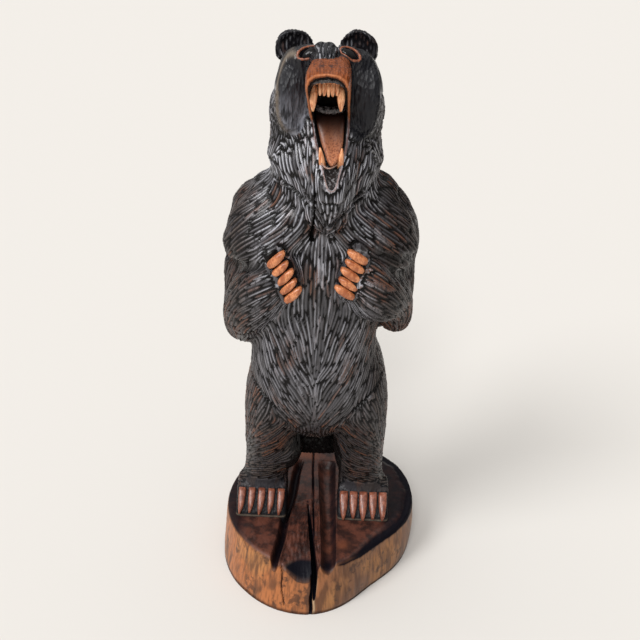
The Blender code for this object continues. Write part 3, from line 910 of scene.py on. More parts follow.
# A crease is a round-bottomed cut along its line.
distance, of_crease = nearest_line(ends["Creases"])
inside = 1.0 - distance.step("DIVIDE", of_crease("half_width"), use_clamp=True) ** 1.6
depth = (hollow + low * 0.4) * of_lock("depth") + inside * of_crease("depth")
grit = add_node(fur_tree, "ShaderNodeTexNoise", {"Scale": 26.0, "Detail": 2.0})
inward = (depth + (grit - 0.5) * ends["Waviness"]) * -1.0
facing = add_node(fur_tree, "GeometryNodeInputNormal")
inward = add_node(fur_tree, "ShaderNodeVectorMath", {"Vector": facing, "Scale": inward}, operation="SCALE")
# The values are kept before the points move, on the wood as it was.
noted = ends["Wood"]
# The crease value is each crease's darkness: painted shade along the creases between the masses.
for name, value in (("cut", hollow), ("crease", inside * of_crease("tint")), ("tint", of_lock("tint"))):
    inputs = {"Geometry": noted, "Name": name, "Value": value}
    noted = add_node(fur_tree, "GeometryNodeStoreNamedAttribute", inputs, data_type="FLOAT", domain="POINT")
moved = add_node(fur_tree, "GeometryNodeSetPosition", {"Geometry": noted, "Offset": inward})
end_group(moved, ends["Finish"], "Carving")


def new_material(name, paint):
    """A material whose shader gets the inputs that paint makes for its tree."""
    material = bpy.data.materials.new(name)
    material.use_nodes = True
    shader = material.node_tree.nodes["Principled BSDF"]
    for key, value in paint(material.node_tree).items():
        plug(value, shader.inputs[key])
    return material


def blend(factor, a, b):
    return add_node(factor.tree, "ShaderNodeMix", {"Factor": factor, 6: a, 7: b}, data_type="RGBA")[2]


def layered(color, *layers):
    """A color with others laid over it, each as far as its factor goes."""
    for factor, over in layers:
        color = blend(factor, color, over)
    return color


def attribute(tree, name):
    return add_node(tree, "ShaderNodeAttribute", attribute_name=name)["Fac"]


def place_in(tree):
    return add_node(tree, "ShaderNodeTexCoord")["Object"]


def parted(vector):
    """A vector's X, with its Y and Z as the other outputs."""
    return add_node(vector.tree, "ShaderNodeSeparateXYZ", {0: vector})


def stretched(vector, factors):
    return add_node(vector.tree, "ShaderNodeVectorMath", {0: vector, 1: factors}, operation="MULTIPLY")


def spots_at(vector, scale, detail, **more):
    """Cloudy noise over a place."""
    inputs = {"Vector": vector, "Scale": scale, "Detail": detail, **more}
    return add_node(vector.tree, "ShaderNodeTexNoise", inputs)


def bump(height, strength, distance, **under):
    """Fine relief, on top of another's if its Normal is given."""
    inputs = {"Height": height, "Strength": strength, "Distance": distance, **under}
    return add_node(height.tree, "ShaderNodeBump", inputs)


# Wood grain that runs up the log: broad streaks, fine fibres, and slow patches.
upright_grain, ends, _ = new_group(
    "upright_grain",
    "ShaderNodeTree",
    {"Across": "Float", "Along": "Float"},
    {"Streaks": "Float", "Fibres": "Float", "Patches": "Float"},
)
grain_outputs = {"Patches": spots_at(place_in(upright_grain), 9.0, 3.0)}
for name, share in (("Streaks", 1.0), ("Fibres", 3.2)):
    across, along = ends["Across"] * share, ends["Along"] * share
    scale = add_node(upright_grain, "ShaderNodeCombineXYZ", {"X": across, "Y": across, "Z": along})
    grain_outputs[name] = spots_at(stretched(place_in(upright_grain), scale), 1.0, 3.0)
add_node(upright_grain, "NodeGroupOutput", grain_outputs)


def grain(tree, across, along):
    made = add_node(tree, "ShaderNodeGroup", {"Across": across, "Along": along}, node_tree=upright_grain)
    return made, made["Fibres"], made["Patches"]


def paint_fur(tree):
    """Burnt black wood, oiled: black in the cuts, blue-grey painted sheen on the crests, brownish red where
    scuffed.

    The muzzle and lips are left bare and stained orange; the mouth is black inside.
    """
    names = ("cut", "crease", "tint", "sooty", "worn", "bare", "smudge", "lip", "mouth")
    cut, crease, tint, sooty, worn, bare, smudge, lip, mouth = (attribute(tree, name) for name in names)
    streaks, fibres, patches = grain(tree, 190.0, 34.0)
    here = place_in(tree)
    height = parted(here)["Z"]
    from_middle = height["X"] - BEAR_AT.x
    # Arms and legs are browner than the breast and belly; their darker tone, most on the right and low down,
    # is painted shade.
    browner_and_shaded = ramp(from_middle, 0.075, 0.135) | ramp(from_middle, -0.09, -0.16) | ramp(height, 0.52, 0.36)
    browner_and_shaded = browner_and_shaded * 0.94
    red = ramp(patches + (tint * 7.3).step("FRACT") * 0.26, 0.68, 0.82)
    # The crests are painted paler with height, as painted light falling on the breast from above.
    crest = layered(
        blend(ramp(height, 0.5, 0.88), (0.19, 0.186, 0.204), (0.4, 0.4, 0.44)),
        (browner_and_shaded, (0.066, 0.048, 0.04)),
        (red, (0.15, 0.064, 0.038)),
    )
    crest = blend(ramp(tint, 0.0, 0.8), (0.06, 0.056, 0.062), crest)
    flank = layered((0.03, 0.029, 0.034), (browner_and_shaded, (0.016, 0.012, 0.01)), (red, (0.038, 0.016, 0.01)))
    # Black in the deepest cuts; along the creases between the masses the black is painted shade.
    deep = ramp(cut, 0.42, 0.84) | crease
    # Brows, forehead and cheeks are left smooth and sooty; low on the left cheek a grain-streaked blue-grey is
    # a painted sheen.
    painted_cheek_sheen = ramp(height, 1.125, 1.06) * ramp(from_middle, 0.01, -0.02)
    painted_cheek_sheen = painted_cheek_sheen * ramp(streaks, 0.3, 0.62) * ramp(height, 0.9, 0.95)
    soot_and_sheen = blend(painted_cheek_sheen, (0.009, 0.009, 0.012), (0.165, 0.168, 0.195))
    # Pale streaks here and there on the forehead's ridges are painted glints.
    broad = spots_at(stretched(here, (300.0, 26.0, 70.0)), 1.0, 3.0)
    painted_glints = ramp(broad, 0.56, 0.66) * ramp(height, 1.164, 1.17)
    painted_glints = painted_glints * ramp(from_middle.step("ABSOLUTE"), 0.024, 0.018) * (sooty * 0.85)
    coat = layered(
        crest,
        (ramp(cut, 0.06, 0.38), flank),
        (ramp(streaks, 0.5, 0.34) * 0.8, (0.022, 0.02, 0.022)),
        (deep, (0.006, 0.005, 0.005)),
        (sooty, soot_and_sheen),
        # Tan wear, which on the left cheek's rim is also a painted highlight.
        (worn, (0.15, 0.118, 0.09)),
        (painted_glints, (0.42, 0.42, 0.45)),
    )
    # The muzzle is painted paler orange towards its top: a painted highlight.
    muzzle = layered(
        blend(ramp(broad, 0.34, 0.62), (0.13, 0.034, 0.012), (0.25, 0.068, 0.021)),
        (smudge * 0.9, (0.035, 0.014, 0.012)),
        (ramp(height, 1.158, 1.13), (0.4, 0.13, 0.048)),
    )
    lips = layered(
        (0.43, 0.15, 0.062),
        (ramp(height, 1.072, 1.06), (0.12, 0.056, 0.048)),
        (ramp(height, 1.03, 0.985), (0.25, 0.14, 0.115)),
    )
    floor_shade = ramp(spots_at(here, 210.0, 2.0), 0.5, 0.66) * ramp(height, 1.02, 1.0)
    hollow = blend(floor_shade, (0.012, 0.008, 0.007), (0.18, 0.17, 0.175))
    dull = deep | bare | sooty * 0.55 | browner_and_shaded * 0.95
    # The cheeks have a soft sheen, the forehead a hard one.
    soft = ramp(height, 1.16, 1.14) * 0.26 - 0.06
    rough = streaks * 0.22 + (sooty * soft + 0.16)
    # The smooth parts are dressed with small gouge cuts that catch the light.
    flecks_at = stretched(here, (1.0, 1.0, 0.38))
    cells = add_node(tree, "ShaderNodeTexVoronoi", {"Vector": flecks_at, "Scale": 185.0})
    return {
        "Base Color": layered(coat, (bare, muzzle), (lip, lips), (mouth, hollow)),
        "Specular IOR Level": 0.5 - dull * 0.36,
        "Roughness": rough | mouth,
        "Normal": bump(cells["Distance"], sooty * 0.75, 0.003, Normal=bump(fibres, 0.35, 0.0006)),
    }


burnt_fur = new_material("burnt_fur", paint_fur)
body = copy_of(figure, "body")
fuse(body, BODY_VOXEL, 3)
for piece, waviness in ((body, 0.004), (head, 0.0015)):
    tools = {"Locks": lock_lines, "Creases": crease_lines, "Waviness": waviness, "Finish": burnt_fur}
    run_group(piece, fur_tree, fur_keys, tools)

# The wood is charred under and between the claws; the gap between the legs is darkened with painted shade.
places = arrays_of(body)[0]
x, y, z = places.T
dark = np.zeros(len(places))
for first, last, reach in np.array(PAW_ROWS):
    along = last - first
    start = first + reach * 0.5
    share = np.clip(((places - start) @ along) / (along @ along), -0.1, 1.04)
    apart = places - start - share[:, None] * along
    way = reach / np.linalg.norm(reach)
    forward = apart @ way
    sideways = np.linalg.norm(apart - forward[:, None] * way, axis=1)
    dark = np.maximum(dark, (np.abs(forward) < 0.022) * (sideways < 0.012))
off = np.abs(x - LEG_SHIFT)
toes = (z < 0.168) * (y < -0.01) * (off > 0.056)
# Painted shade in the gap between the legs.
leg_gap_shade = (off < 0.062) * (z < 0.345) * (z > 0.1) * (y > -0.03) * (y < 0.08)
cut = body.data.attributes["cut"].data
kept = np.empty(len(places), dtype=np.float32)
cut.foreach_get("value", kept)
cut.foreach_set("value", np.maximum.reduce([kept, dark, toes, 0.8 * leg_gap_shade]).astype(np.float32))
# The blunt edge over the toes is dark and smooth; the foot of each toe block is rubbed pale.
on_toes = (y < 0.004) * (off > 0.05) * (z < 0.2)
toe_foot = on_toes * (y < -0.02) * np.exp(-(((z - 0.119) / 0.002) ** 2)) * 0.8
note(body.data, sooty=on_toes * ease((0.198 - z) / 0.01) * 0.62, worn=toe_foot)


def cut_to_lengths(piece, heights, names):
    """Parts the piece at the heights into closed pieces whose shading runs on across the cuts."""
    keep = piece.data.attributes.new("whole_normal", "FLOAT_VECTOR", "POINT")
    keep.data.foreach_set("vector", arrays_of(piece)[1].ravel())
    limits = [None, *heights, None]
    for low, high, name in zip(limits, limits[1:], names):
        if name is None:
            continue
        part = copy_of(piece, name)
        if low is not None:
            cut_at(part, low, True)
        if high is not None:
            cut_at(part, high, False)
        mesh = part.data
        mesh.materials.append(burnt_fur)
        kept = np.empty(len(mesh.vertices) * 3, dtype=np.float32)
        mesh.attributes["whole_normal"].data.foreach_get("vector", kept)
        kept = kept.reshape(-1, 3)
        kept /= np.maximum(np.linalg.norm(kept, axis=1), 1e-6)[:, None]
        mesh.shade_smooth()
        mesh.normals_split_custom_set_from_vertices(kept.tolist())
        mesh.attributes.remove(mesh.attributes["whole_normal"])
        mesh.transform(Matrix.Translation(BEAR_AT))
        hand_over(part)
    bpy.data.objects.remove(piece)


def hand_over(piece):
    """Fixes a finished piece to the carving, which is all one body."""
    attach(piece, "root")
    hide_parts("carved_bear")


body_names = ("legs", "belly", "forearms", "chest_and_shoulders", None)
cut_to_lengths(body, (0.36, 0.56, 0.745, NECK_CUT), body_names)
cut_to_lengths(head, (NECK_CUT,), (None, "head_and_neck"))
for leftover in (figure, lock_lines, crease_lines):
    bpy.data.objects.remove(leftover)

# ------------------------------------------------------------
# Eyes: polished black ovals, each held in a lid left as bare orange wood around the hollow.
# Carved in place with the head. The lids follow the almond outline of the hollows.


def add_lids(shape):
    for side, middle, slope in eye_seats:
        out, along, _ = eye_axes(side, slope)
        route = []
        for i, point in enumerate(almond(side, middle, slope, 1.02)):
            hit = brow.ray_cast(point + out * 0.03, -out)[0] or point
            lift = min(max((hit - point).dot(out), -0.004), 0.003)
            outer = (point - middle).dot(along) / EYE_LONG
            radius = 0.0019 + 0.0006 * outer + 0.0003 * sin(i * 1.7 + side)
            route.append((*(point + out * (lift - 0.0006)), radius))
        skin_rings(shape, rod_rings(route, closed=True), closed=True)


def add_eyeballs(shape):
    for side, middle, slope in eye_seats:
        out, along, up = eye_axes(side, slope)
        turn = Matrix((along, up, out)).transposed().to_4x4()
        size = Matrix.Diagonal((EYE_LONG * 0.84, EYE_SHORT * 0.84, 0.0062, 1))
        add_ball(shape, Matrix.Translation(middle - out * 0.0068) @ turn @ size, 24)


def bare_finish(name, light, dark, rough, across=260.0, along=40.0, relief=0.3):
    """Wood left bare of the black, stained, and sealed to a soft gloss, with its grain showing."""

    def paint(tree):
        streaks, fibres, patches = grain(tree, across, along)
        return {
            "Base Color": layered(
                dark, (ramp(streaks, 0.36, 0.58), light), (ramp(fibres, 0.6, 0.42) * 0.55, dark)
            ),
            "Roughness": patches * 0.2 + rough,
            "Normal": bump(fibres, relief, 0.0006),
        }

    return new_material(name, paint)


def finish_piece(piece, material, at=BEAR_AT):
    """Gives a piece its finish and its place in the whole, and hands it over."""
    piece.data.materials.clear()
    piece.data.materials.append(material)
    piece.data.shade_smooth()
    piece.data.transform(Matrix.Translation(at))
    hand_over(piece)


def paint_eyes(tree):
    blot = ramp(grain(tree, 300.0, 60.0)[0], 0.3, 0.7)
    color = blend(blot, (0.002, 0.002, 0.003), (0.009, 0.007, 0.007))
    return {"Base Color": color, "Roughness": 0.16, "Specular IOR Level": 0.22}


finish_piece(new_piece("eyes", add_eyeballs), new_material("polished_black", paint_eyes))
lid_wood = bare_finish("lid_wood", (0.33, 0.1, 0.042), (0.13, 0.04, 0.02), 0.26)
finish_piece(new_piece("eyelids", add_lids), lid_wood)

# ------------------------------------------------------------
# Teeth: a row of five incisors between two long canines above, and two short canines below.
# Pegs of the bare wood, left standing out of the mouth's sides as it was hollowed.

# Root, tip, radius at the root.
CANINES = metres(
    (-21.5, -153, 1140, -21.5, -158, 1096.5, 7.0),
    (25, -153, 1142, 26.5, -158, 1098, 7.2),
    (0, -150, 990, -7, -156, 1032, 5.6),
    (29, -150, 993, 31.5, -156, 1032, 5.6),
)
# Each tooth's thickness from root to tip, in shares of its radius.
CANINE_SWELL = (0.92, 1.02, 1.05, 1.02, 0.95, 0.84, 0.68, 0.48, 0.24)
INCISOR_SWELL = (0.9, 1.0, 1.04, 1.02, 0.95, 0.8, 0.45)
INCISOR_ROOT, INCISOR_TIP = 1.1535, 1.1275
INCISOR_PITCH, INCISOR_RADIUS = 0.0073, 0.0037
# The ridge that the upper teeth grow from.
TOOTH_RIDGE = metres(
    (-27, -150, 1138), (-20, -161, 1147), (-8, -166, 1151), (5, -167.5, 1152), (18, -166, 1151.5),
    (28, -161, 1148), (34, -150, 1140),
)


def add_tooth(shape, root, tip, radius, swells, bow):
    """A blunt peg from root to tip, bowed a little forwards."""
    root, tip = Vector(root), Vector(tip)
    along = (tip - root).normalized()
    side = along.cross(Vector((0, 1, 0))).normalized()
    front = side.cross(along)
    rings = []
    for i, scale in enumerate(swells):
        t = i / (len(swells) - 1)
        middle = root.lerp(tip, t) + Vector((0, -1, 0)) * bow * sin(pi * t)
        rings.append([middle + (side * a + front * b) * radius * scale for a, b in squircle(14, 2.3)])
    skin_rings(shape, rings)


def add_teeth(shape):
    for row in CANINES:
        add_tooth(shape, row[:3], row[3:6], row[6], CANINE_SWELL, 0.0025)
    for i in range(5):
        x = 0.0042 + (i - 2) * INCISOR_PITCH
        back = -0.17 + 0.001 * (i - 2) ** 2
        wave = 0.0006 * sin(i * 2.1) - 0.001
        root, tip = (x, back + 0.004, INCISOR_ROOT + wave), (x * 0.97, back, INCISOR_TIP + wave)
        add_tooth(shape, root, tip, INCISOR_RADIUS, INCISOR_SWELL, 0.001)
    route = [(*p, 0.0042 + 0.0009 * sin(i * 1.9)) for i, p in enumerate(smooth_rows(TOOTH_RIDGE, 6))]
    skin_rings(shape, rod_rings(route, 12))


tooth_wood = bare_finish("tooth_wood", (0.92, 0.49, 0.255), (0.5, 0.16, 0.058), 0.2)
finish_piece(new_piece("teeth", add_teeth), tooth_wood)

# ------------------------------------------------------------
# Gums and throat: a lumpy arch above the teeth and a low bar across the throat behind the tongue.
# Knife-cut and left dark grey, with the oil catching on the facets.

GUM_ARCH = metres(
    (-31.5, -140, 1120), (-30, -156, 1136), (-24.5, -169, 1148), (-13.5, -179, 1155.5), (1, -183.5, 1157.5),
    (15.5, -179, 1156), (27.5, -169, 1149), (34.5, -156, 1138), (37, -140, 1123),
)
THROAT_BAR = metres(
    (-20, -88, 1086), (-10, -100, 1084.5), (7, -103, 1082.5), (22, -100, 1084), (33, -88, 1085)
)


def add_gums(shape):
    lumpy = random.Random(3)
    for route, radius in ((GUM_ARCH, 0.0044), (THROAT_BAR, 0.0062)):
        points = [(*p, radius * (1 + 0.16 * lumpy.uniform(-1, 1))) for p in smooth_rows(route, 5)]
        skin_rings(shape, rod_rings(points, 14))


gums = new_piece("gums", add_gums)
fuse(gums, 0.0011 * DRAFT, 1)
facets = np.array([turbulence.noise(Vector(p) * 260.0) for p in arrays_of(gums)[0]])
swell(gums, 0.0012 * np.abs(facets) ** 0.8 * np.sign(facets))
gum_wood = bare_finish("gum_wood", (0.15, 0.13, 0.132), (0.008, 0.006, 0.006), 0.16, 200.0, 90.0, 0.8)
finish_piece(gums, gum_wood)

# ------------------------------------------------------------
# Tongue: a tapering slab of bare wood that hangs from the throat down to the lower lip, its root darkened with
# painted shade.
# Left standing in the jaw, hollowed a little along its middle. A pale lip of wood crosses below its tip.

# From the root to the tip: left edge, right edge, Y, height.
TONGUE = metres(
    (-20, 38, -72, 1074), (-17, 35.2, -90, 1064), (-11.5, 34.2, -110, 1048), (-5.5, 33.3, -128, 1031),
    (0.5, 30, -143, 1020), (4.5, 26.5, -155, 1012.5), (8.5, 22.5, -163, 1007.5), (12.5, 18, -168, 1004.5),
)
LIP_BAR = metres(
    (-4, -160, 1004.5), (3, -170, 1002), (9.5, -174, 1001), (16.5, -170, 1001.5), (24, -160, 1003)
)


def add_tongue(shape):
    rings = []
    for left, right, y, z in smooth_rows(TONGUE, 5):
        ring = []
        for a, b in squircle(28, 2.8):
            rise = (0.0015 - 0.003 * exp(-((a / 0.35) ** 2))) * (b > 0) + 0.006 * b
            ring.append(((left + right) / 2 + (right - left) / 2 * a, y - 0.6 * rise, z + 0.8 * rise))
        rings.append(ring)
    skin_rings(shape, rings)


def paint_tongue(tree):
    streaks, fibres, _ = grain(tree, 300.0, 30.0)
    fresh = blend(ramp(streaks, 0.34, 0.6), (0.19, 0.06, 0.03), (0.46, 0.175, 0.085))
    # The root is painted darker towards the throat: painted shade.
    root_shade = ramp(parted(place_in(tree))["Z"] + streaks * 0.02, 1.022, 1.078)
    color = blend(root_shade, fresh, (0.022, 0.007, 0.004))
    return {"Base Color": color, "Roughness": 0.36, "Normal": bump(fibres, 0.35, 0.0006)}


def add_lip_bar(shape):
    skin_rings(shape, rod_rings([(*p, 0.0014) for p in smooth_rows(LIP_BAR, 5)]))


finish_piece(new_piece("tongue", add_tongue), new_material("tongue_wood", paint_tongue))
pale_wood = bare_finish("pale_wood", (0.42, 0.27, 0.21), (0.2, 0.12, 0.095), 0.3)
finish_piece(new_piece("lip_bar", add_lip_bar), pale_wood)

# ------------------------------------------------------------
# Claws: five on each paw, fat and blunt, and five on each foot, long and flat, with dark gaps between.
# Bare wood, cut free at the sides only. Each row is one Geometry Nodes row of a single claw.

# How far along the claw, and how thick it is there, in shares of its length and width.
PAW_STATIONS = (
    (-0.02, 0.62), (0.06, 0.84), (0.2, 0.98), (0.4, 1.04), (0.6, 1.0), (0.78, 0.88), (0.91, 0.66), (1.0, 0.34)
)
FOOT_STATIONS = ((-0.05, 1.0), (0.1, 1.02), (0.3, 1.0), (0.5, 0.92), (0.68, 0.78), (0.84, 0.56), (1.0, 0.26))
CLAW_GAP_X = 0.0222


def new_claw(stations, length, half_width, half_thick, drift, bow, power):
    """One claw, along -Z from its root, its back towards +Y."""
    rings = []
    for t, scale in stations:
        middle = Vector((drift * t * t, -bow * sin(pi * min(max(t, 0), 1)), -length * t))
        thick = half_thick * (0.55 + 0.45 * scale)
        ring = [middle + Vector((half_width * scale * a, thick * b, 0)) for a, b in squircle(16, power)]
        rings.append(ring)
    return new_piece("claw", lambda shape: skin_rings(shape, rings))


# A row of equal claws along a line, each a little different in size, all turned one way.
sockets = {"Unused": "Geometry", "Claw": "Object", "Claws": "Int", "First claw": "Vector", "Step": "Vector"}
sockets |= {"Turn": "Vector", "Size variation": "Float", "Finish": "Material"}
row_tree, ends, row_keys = new_group("claw_row", "GeometryNodeTree", sockets, {"Row": "Geometry"})
inputs = {"Count": ends["Claws"], "Start Location": ends["First claw"], "Offset": ends["Step"]}
line = add_node(row_tree, "GeometryNodeMeshLine", inputs, mode="OFFSET")
claw = add_node(row_tree, "GeometryNodeObjectInfo", {"Object": ends["Claw"]})["Geometry"]
inputs = {2: 1.0 - ends["Size variation"], 3: ends["Size variation"] + 1.0, "Seed": 4}
size = add_node(row_tree, "FunctionNodeRandomValue", inputs, data_type="FLOAT")[1]
turned = add_node(row_tree, "FunctionNodeEulerToRotation", {0: ends["Turn"]})
inputs = {"Points": line, "Instance": claw, "Rotation": turned, "Scale": size}
end_group(add_node(row_tree, "GeometryNodeInstanceOnPoints", inputs), ends["Finish"], "Row")


def claw_row(name, claw, start, step, turn, vary, finish):
    made = new_piece(name, lambda shape: shape.verts.new((0, 0, 0)))
    values = {"Claw": claw, "Claws": 5, "First claw": start, "Step": step, "Turn": turn}
    run_group(made, row_tree, row_keys, {**values, "Size variation": vary, "Finish": finish})
    finish_piece(made, finish)
    bpy.data.objects.remove(claw)


def turn_to(along, back):
    """Euler angles that lay a claw's -Z along the first way, with its +Y towards the second."""
    down = -Vector(along).normalized()
    y = (Vector(back) - down * Vector(back).dot(down)).normalized()
    return Matrix((y.cross(down), y, down)).transposed().to_euler()


def add_knuckles(shape):
    """The rounded edge of the paw along the roots of its claws."""
    for row in PAW_ROWS:
        first, last, reach = (Vector(p) for p in row)
        route = []
        for i in range(-1, 10):
            place = first + (last - first) / 8 * i - reach * 0.14 + Vector((0, -0.001, 0))
            route.append((*place, 0.0042 if -1 < i < 9 else 0.0015))
        skin_rings(shape, rod_rings(route, 12))


paw_wood = bare_finish("paw_claw_wood", (0.68, 0.27, 0.115), (0.33, 0.095, 0.034), 0.2, 110.0, 60.0)
foot_wood = bare_finish("foot_claw_wood", (0.29, 0.1, 0.058), (0.135, 0.038, 0.021), 0.2, 120.0, 40.0)
foot_turn = turn_to((0, -0.7, -0.714), (0, 0.714, -0.7))
foot_sizes = ((0.056, 0.008, -0.004), (0.06, 0.0092, 0.0))
for side, where, row, (length, half, drift) in zip((-1, 1), ("left", "right"), PAW_ROWS, foot_sizes):
    first, last, reach = (Vector(p) for p in row)
    start = first - reach * 0.04 + Vector((0, -0.003, 0))
    claw = new_claw(PAW_STATIONS, 0.041, 0.0079, 0.008, 0.0015, 0.003, 2.6)
    claw_row(where + "_paw_claws", claw, start, (last - first) / 4, turn_to(reach, (0, 1, 0)), 0.05, paw_wood)
    start = (side * 0.0715 + LEG_SHIFT, -0.0185, 0.1655)
    claw = new_claw(FOOT_STATIONS, length, half, 0.0072, drift, 0.002, 3.2)
    claw_row(where + "_foot_claws", claw, start, (side * CLAW_GAP_X, 0, 0), foot_turn, 0.04, foot_wood)
finish_piece(new_piece("knuckles", add_knuckles), burnt_fur)

# ------------------------------------------------------------
# The foot of the log: debarked side, carved deck with two channels, a drying check, and a scorched bevel.
# One piece with the bear. A round of log, so its skin is rows around its side and rings over its deck.

LOG_RADIUS, LOG_WIDTH, LOG_THICK = 0.232, 0.975, 0.118
LOG_LEAN, DECK_TILT, FOOT_ROUND = 0.026, 0.004, 0.006
RIM_SCALE, DECK_SCALE = 0.97, 0.94
TURNS, SIDE_ROWS, DECK_RINGS = int(570 / DRAFT), int(40 / DRAFT), int(64 / DRAFT)


def swell_at(angle, middle, width):
    """1 at the middle angle, falling to 0 on both sides; middle and width in degrees."""
    return np.exp(-((((angle - radians(middle) + pi) % (2 * pi) - pi) / radians(width)) ** 2))


def log_plan(angle):
    """The trunk's outline: a round that is flatter at the front right and fuller at the back right."""
    radius = LOG_RADIUS * (1 - 0.2 * swell_at(angle, -44, 36) + 0.1 * swell_at(angle, 48, 30))
    return LOG_WIDTH * radius * np.cos(angle), radius * np.sin(angle)


def noise_at(places, scale, stretch=(1, 1, 1)):
    return np.array([turbulence.fractal(Vector(p) * scale, 1.0, 2.0, 3) for p in places * stretch])


def trough(distance, half, power=2.6):
    """The rounded section of a channel: 1 along its middle, 0 at its edges."""
    return np.clip(1 - np.abs(distance / half) ** power, 0, 1)


coarse = np.linspace(0, 2 * pi, 4000, endpoint=False)
plan_x, plan_y = log_plan(coarse)
shift_x, shift_y = ((plan.max() + plan.min()) / 2 for plan in (plan_x, plan_y))
plan_y = plan_y - shift_y
reaches = (plan_y, plan_y * RIM_SCALE + LOG_LEAN * 0.94, plan_y * DECK_SCALE + LOG_LEAN)
forward = (min(reaches[0].min(), reaches[2].min()) + max(reach.max() for reach in reaches)) / 2
share = np.concatenate([[0], np.cumsum(1 + 1.5 * swell_at(coarse, -95, 30))])
angles = np.interp(np.arange(TURNS) / TURNS * share[-1], share, np.linspace(0, 2 * pi, 4001))


def ring_at(scale, height):
    """Points around the log at a scale of its plan, leaning back with height."""
    x, y = log_plan(angles)
    return (x - shift_x) * scale, (y - shift_y) * scale + LOG_LEAN * height / LOG_THICK - forward


def deck_relief(x, y, scale):
    """How deep the deck is cut at a place, how dark from charring and painted shade, and how pale from painted
    highlights.
    """
    flat = np.stack([x, y, y * 0], 1)
    grit = noise_at(flat, 26.0)
    fine = noise_at(flat, 10.0, (18.0, 4.0, 1.0))
    # Left channel: narrow and deepening to the front. Right channel: wide and round.
    left_mid = -0.054 - 0.05 * (0.15 - y) / 0.41 + 0.0015 * np.sin(y * 40)
    left = trough(x - left_mid, 0.0105) * ease((0.165 - y) / 0.02)
    right_mid = np.interp(y, (-0.26, -0.14, 0.12), (0.02, 0.0195, 0.0127))
    right_half = np.interp(y, (-0.26, -0.14, 0.12), (0.0165, 0.017, 0.0215))
    right = trough(x - right_mid, right_half, 2.2) * ease((0.165 - y) / 0.02)
    depth = left * np.interp(y, (-0.25, -0.15, 0.15), (0.0155, 0.024, 0.021))
    depth = np.maximum(depth, right * np.interp(y, (-0.23, -0.14, 0.12), (0.0125, 0.021, 0.021)))
    # The ground between the channels falls away to the front and is rough with chisel cuts.
    wedge = ease((x - left_mid - 0.009) / 0.006) * ease((right_mid - right_half - x) / 0.004)
    chips = 0.0035 * np.clip(fine, -0.6, 1) * ease((y + 0.225) / 0.04)
    depth += wedge * (0.008 * ease((-y - 0.07) / 0.13) + chips * ease((0.05 - y) / 0.08))
    # A narrow line of the check, then the check itself, opening to the front.
    line = trough(x - np.interp(y, (-0.1, 0.12), (-0.0135, -0.0215)), 0.0026) * ease((y + 0.13) / 0.03)
    check_mid = np.interp(y, (-0.26, -0.208, -0.125, 0.008), (-0.006, -0.0075, -0.0172, -0.0302))
    check_half = np.interp(y, (-0.26, -0.18, -0.06, 0.008), (0.0068, 0.0062, 0.0046, 0.0012))
    check = trough(x - check_mid, check_half, 3.0) * ease((0.02 - y) / 0.03)
    depth += line * 0.008 + check * np.interp(y, (-0.26, -0.15, 0.0), (0.06, 0.036, 0.01))
    # The scoop out of the rim beside the check.
    scoop = np.exp(-(((x + 0.034) / 0.038) ** 2 + ((y + 0.23) / 0.048) ** 2) ** 1.6) * (x < check_mid + 0.004)
    depth += 0.026 * scoop - wedge * chips * ease(scoop * 4)
    # The scorched bevel from the right channel round to the back on the right.
    turn = np.degrees(np.arctan2(y + 0.01, x))
    arc = ease((turn + 79) / 8) * ease((96 - turn) / 25)
    inner = 0.94 - 0.08 * ease((turn + 78) / 40) - 0.03 * ease((turn + 30) / 60) - 0.02 * grit
    bevel = arc * ease((scale - inner) / 0.085)
    depth += (0.0025 + 0.0055 * ease((turn + 78) / 45)) * bevel
    edge = np.clip((scale - DECK_SCALE) / (RIM_SCALE - DECK_SCALE), 0, 1)
    depth += 0.0055 * edge**2 + 0.0022 * (grit * 0.5 + 0.5) + 0.0006 * fine
    # Soot lies around the feet and along both flanks of the deck.
    flank = np.maximum(ease((x - 0.12) / 0.035), ease((-0.158 - x) / 0.03))
    flank = flank * ease((y + 0.15 + 0.5 * (x < 0)) / 0.05)
    char = np.maximum.reduce([
        left * 0.9,
        # Painted shade: the right half of the right channel is darkened.
        ease((x - right_mid - 0.002) / 0.01) * (right > 0.02) * 0.75,
        right * ease((-y - 0.13) / 0.05) * 0.95,
        line,
        ease(check * 4),
        ease(scoop * 5.0 - 0.2),
        0.98 * ease(bevel * 1.3),
        0.82 * flank * ease((grit + 1.15) / 0.7),
    ])
    # Painted highlights: a pale line along the rim's edge, and a pale spot by the scoop.
    painted_rim_highlight = (1 - arc) * ease((scale - 0.962) / 0.006) * (np.maximum(left, right) < 0.1) * (scoop < 0.3)
    painted_spot_highlight = 0.55 * np.exp(-(((x + 0.052) / 0.012) ** 2 + ((y + 0.192) / 0.008) ** 2)) * wedge
    return depth, char, np.maximum(0.45 * painted_rim_highlight, painted_spot_highlight)


edge_x, edge_y = ring_at(RIM_SCALE, LOG_THICK * 0.94)
edge_depth = deck_relief(edge_x, edge_y, RIM_SCALE)[0]
rim_height = LOG_THICK + DECK_TILT * edge_y / LOG_RADIUS - edge_depth - 0.0015
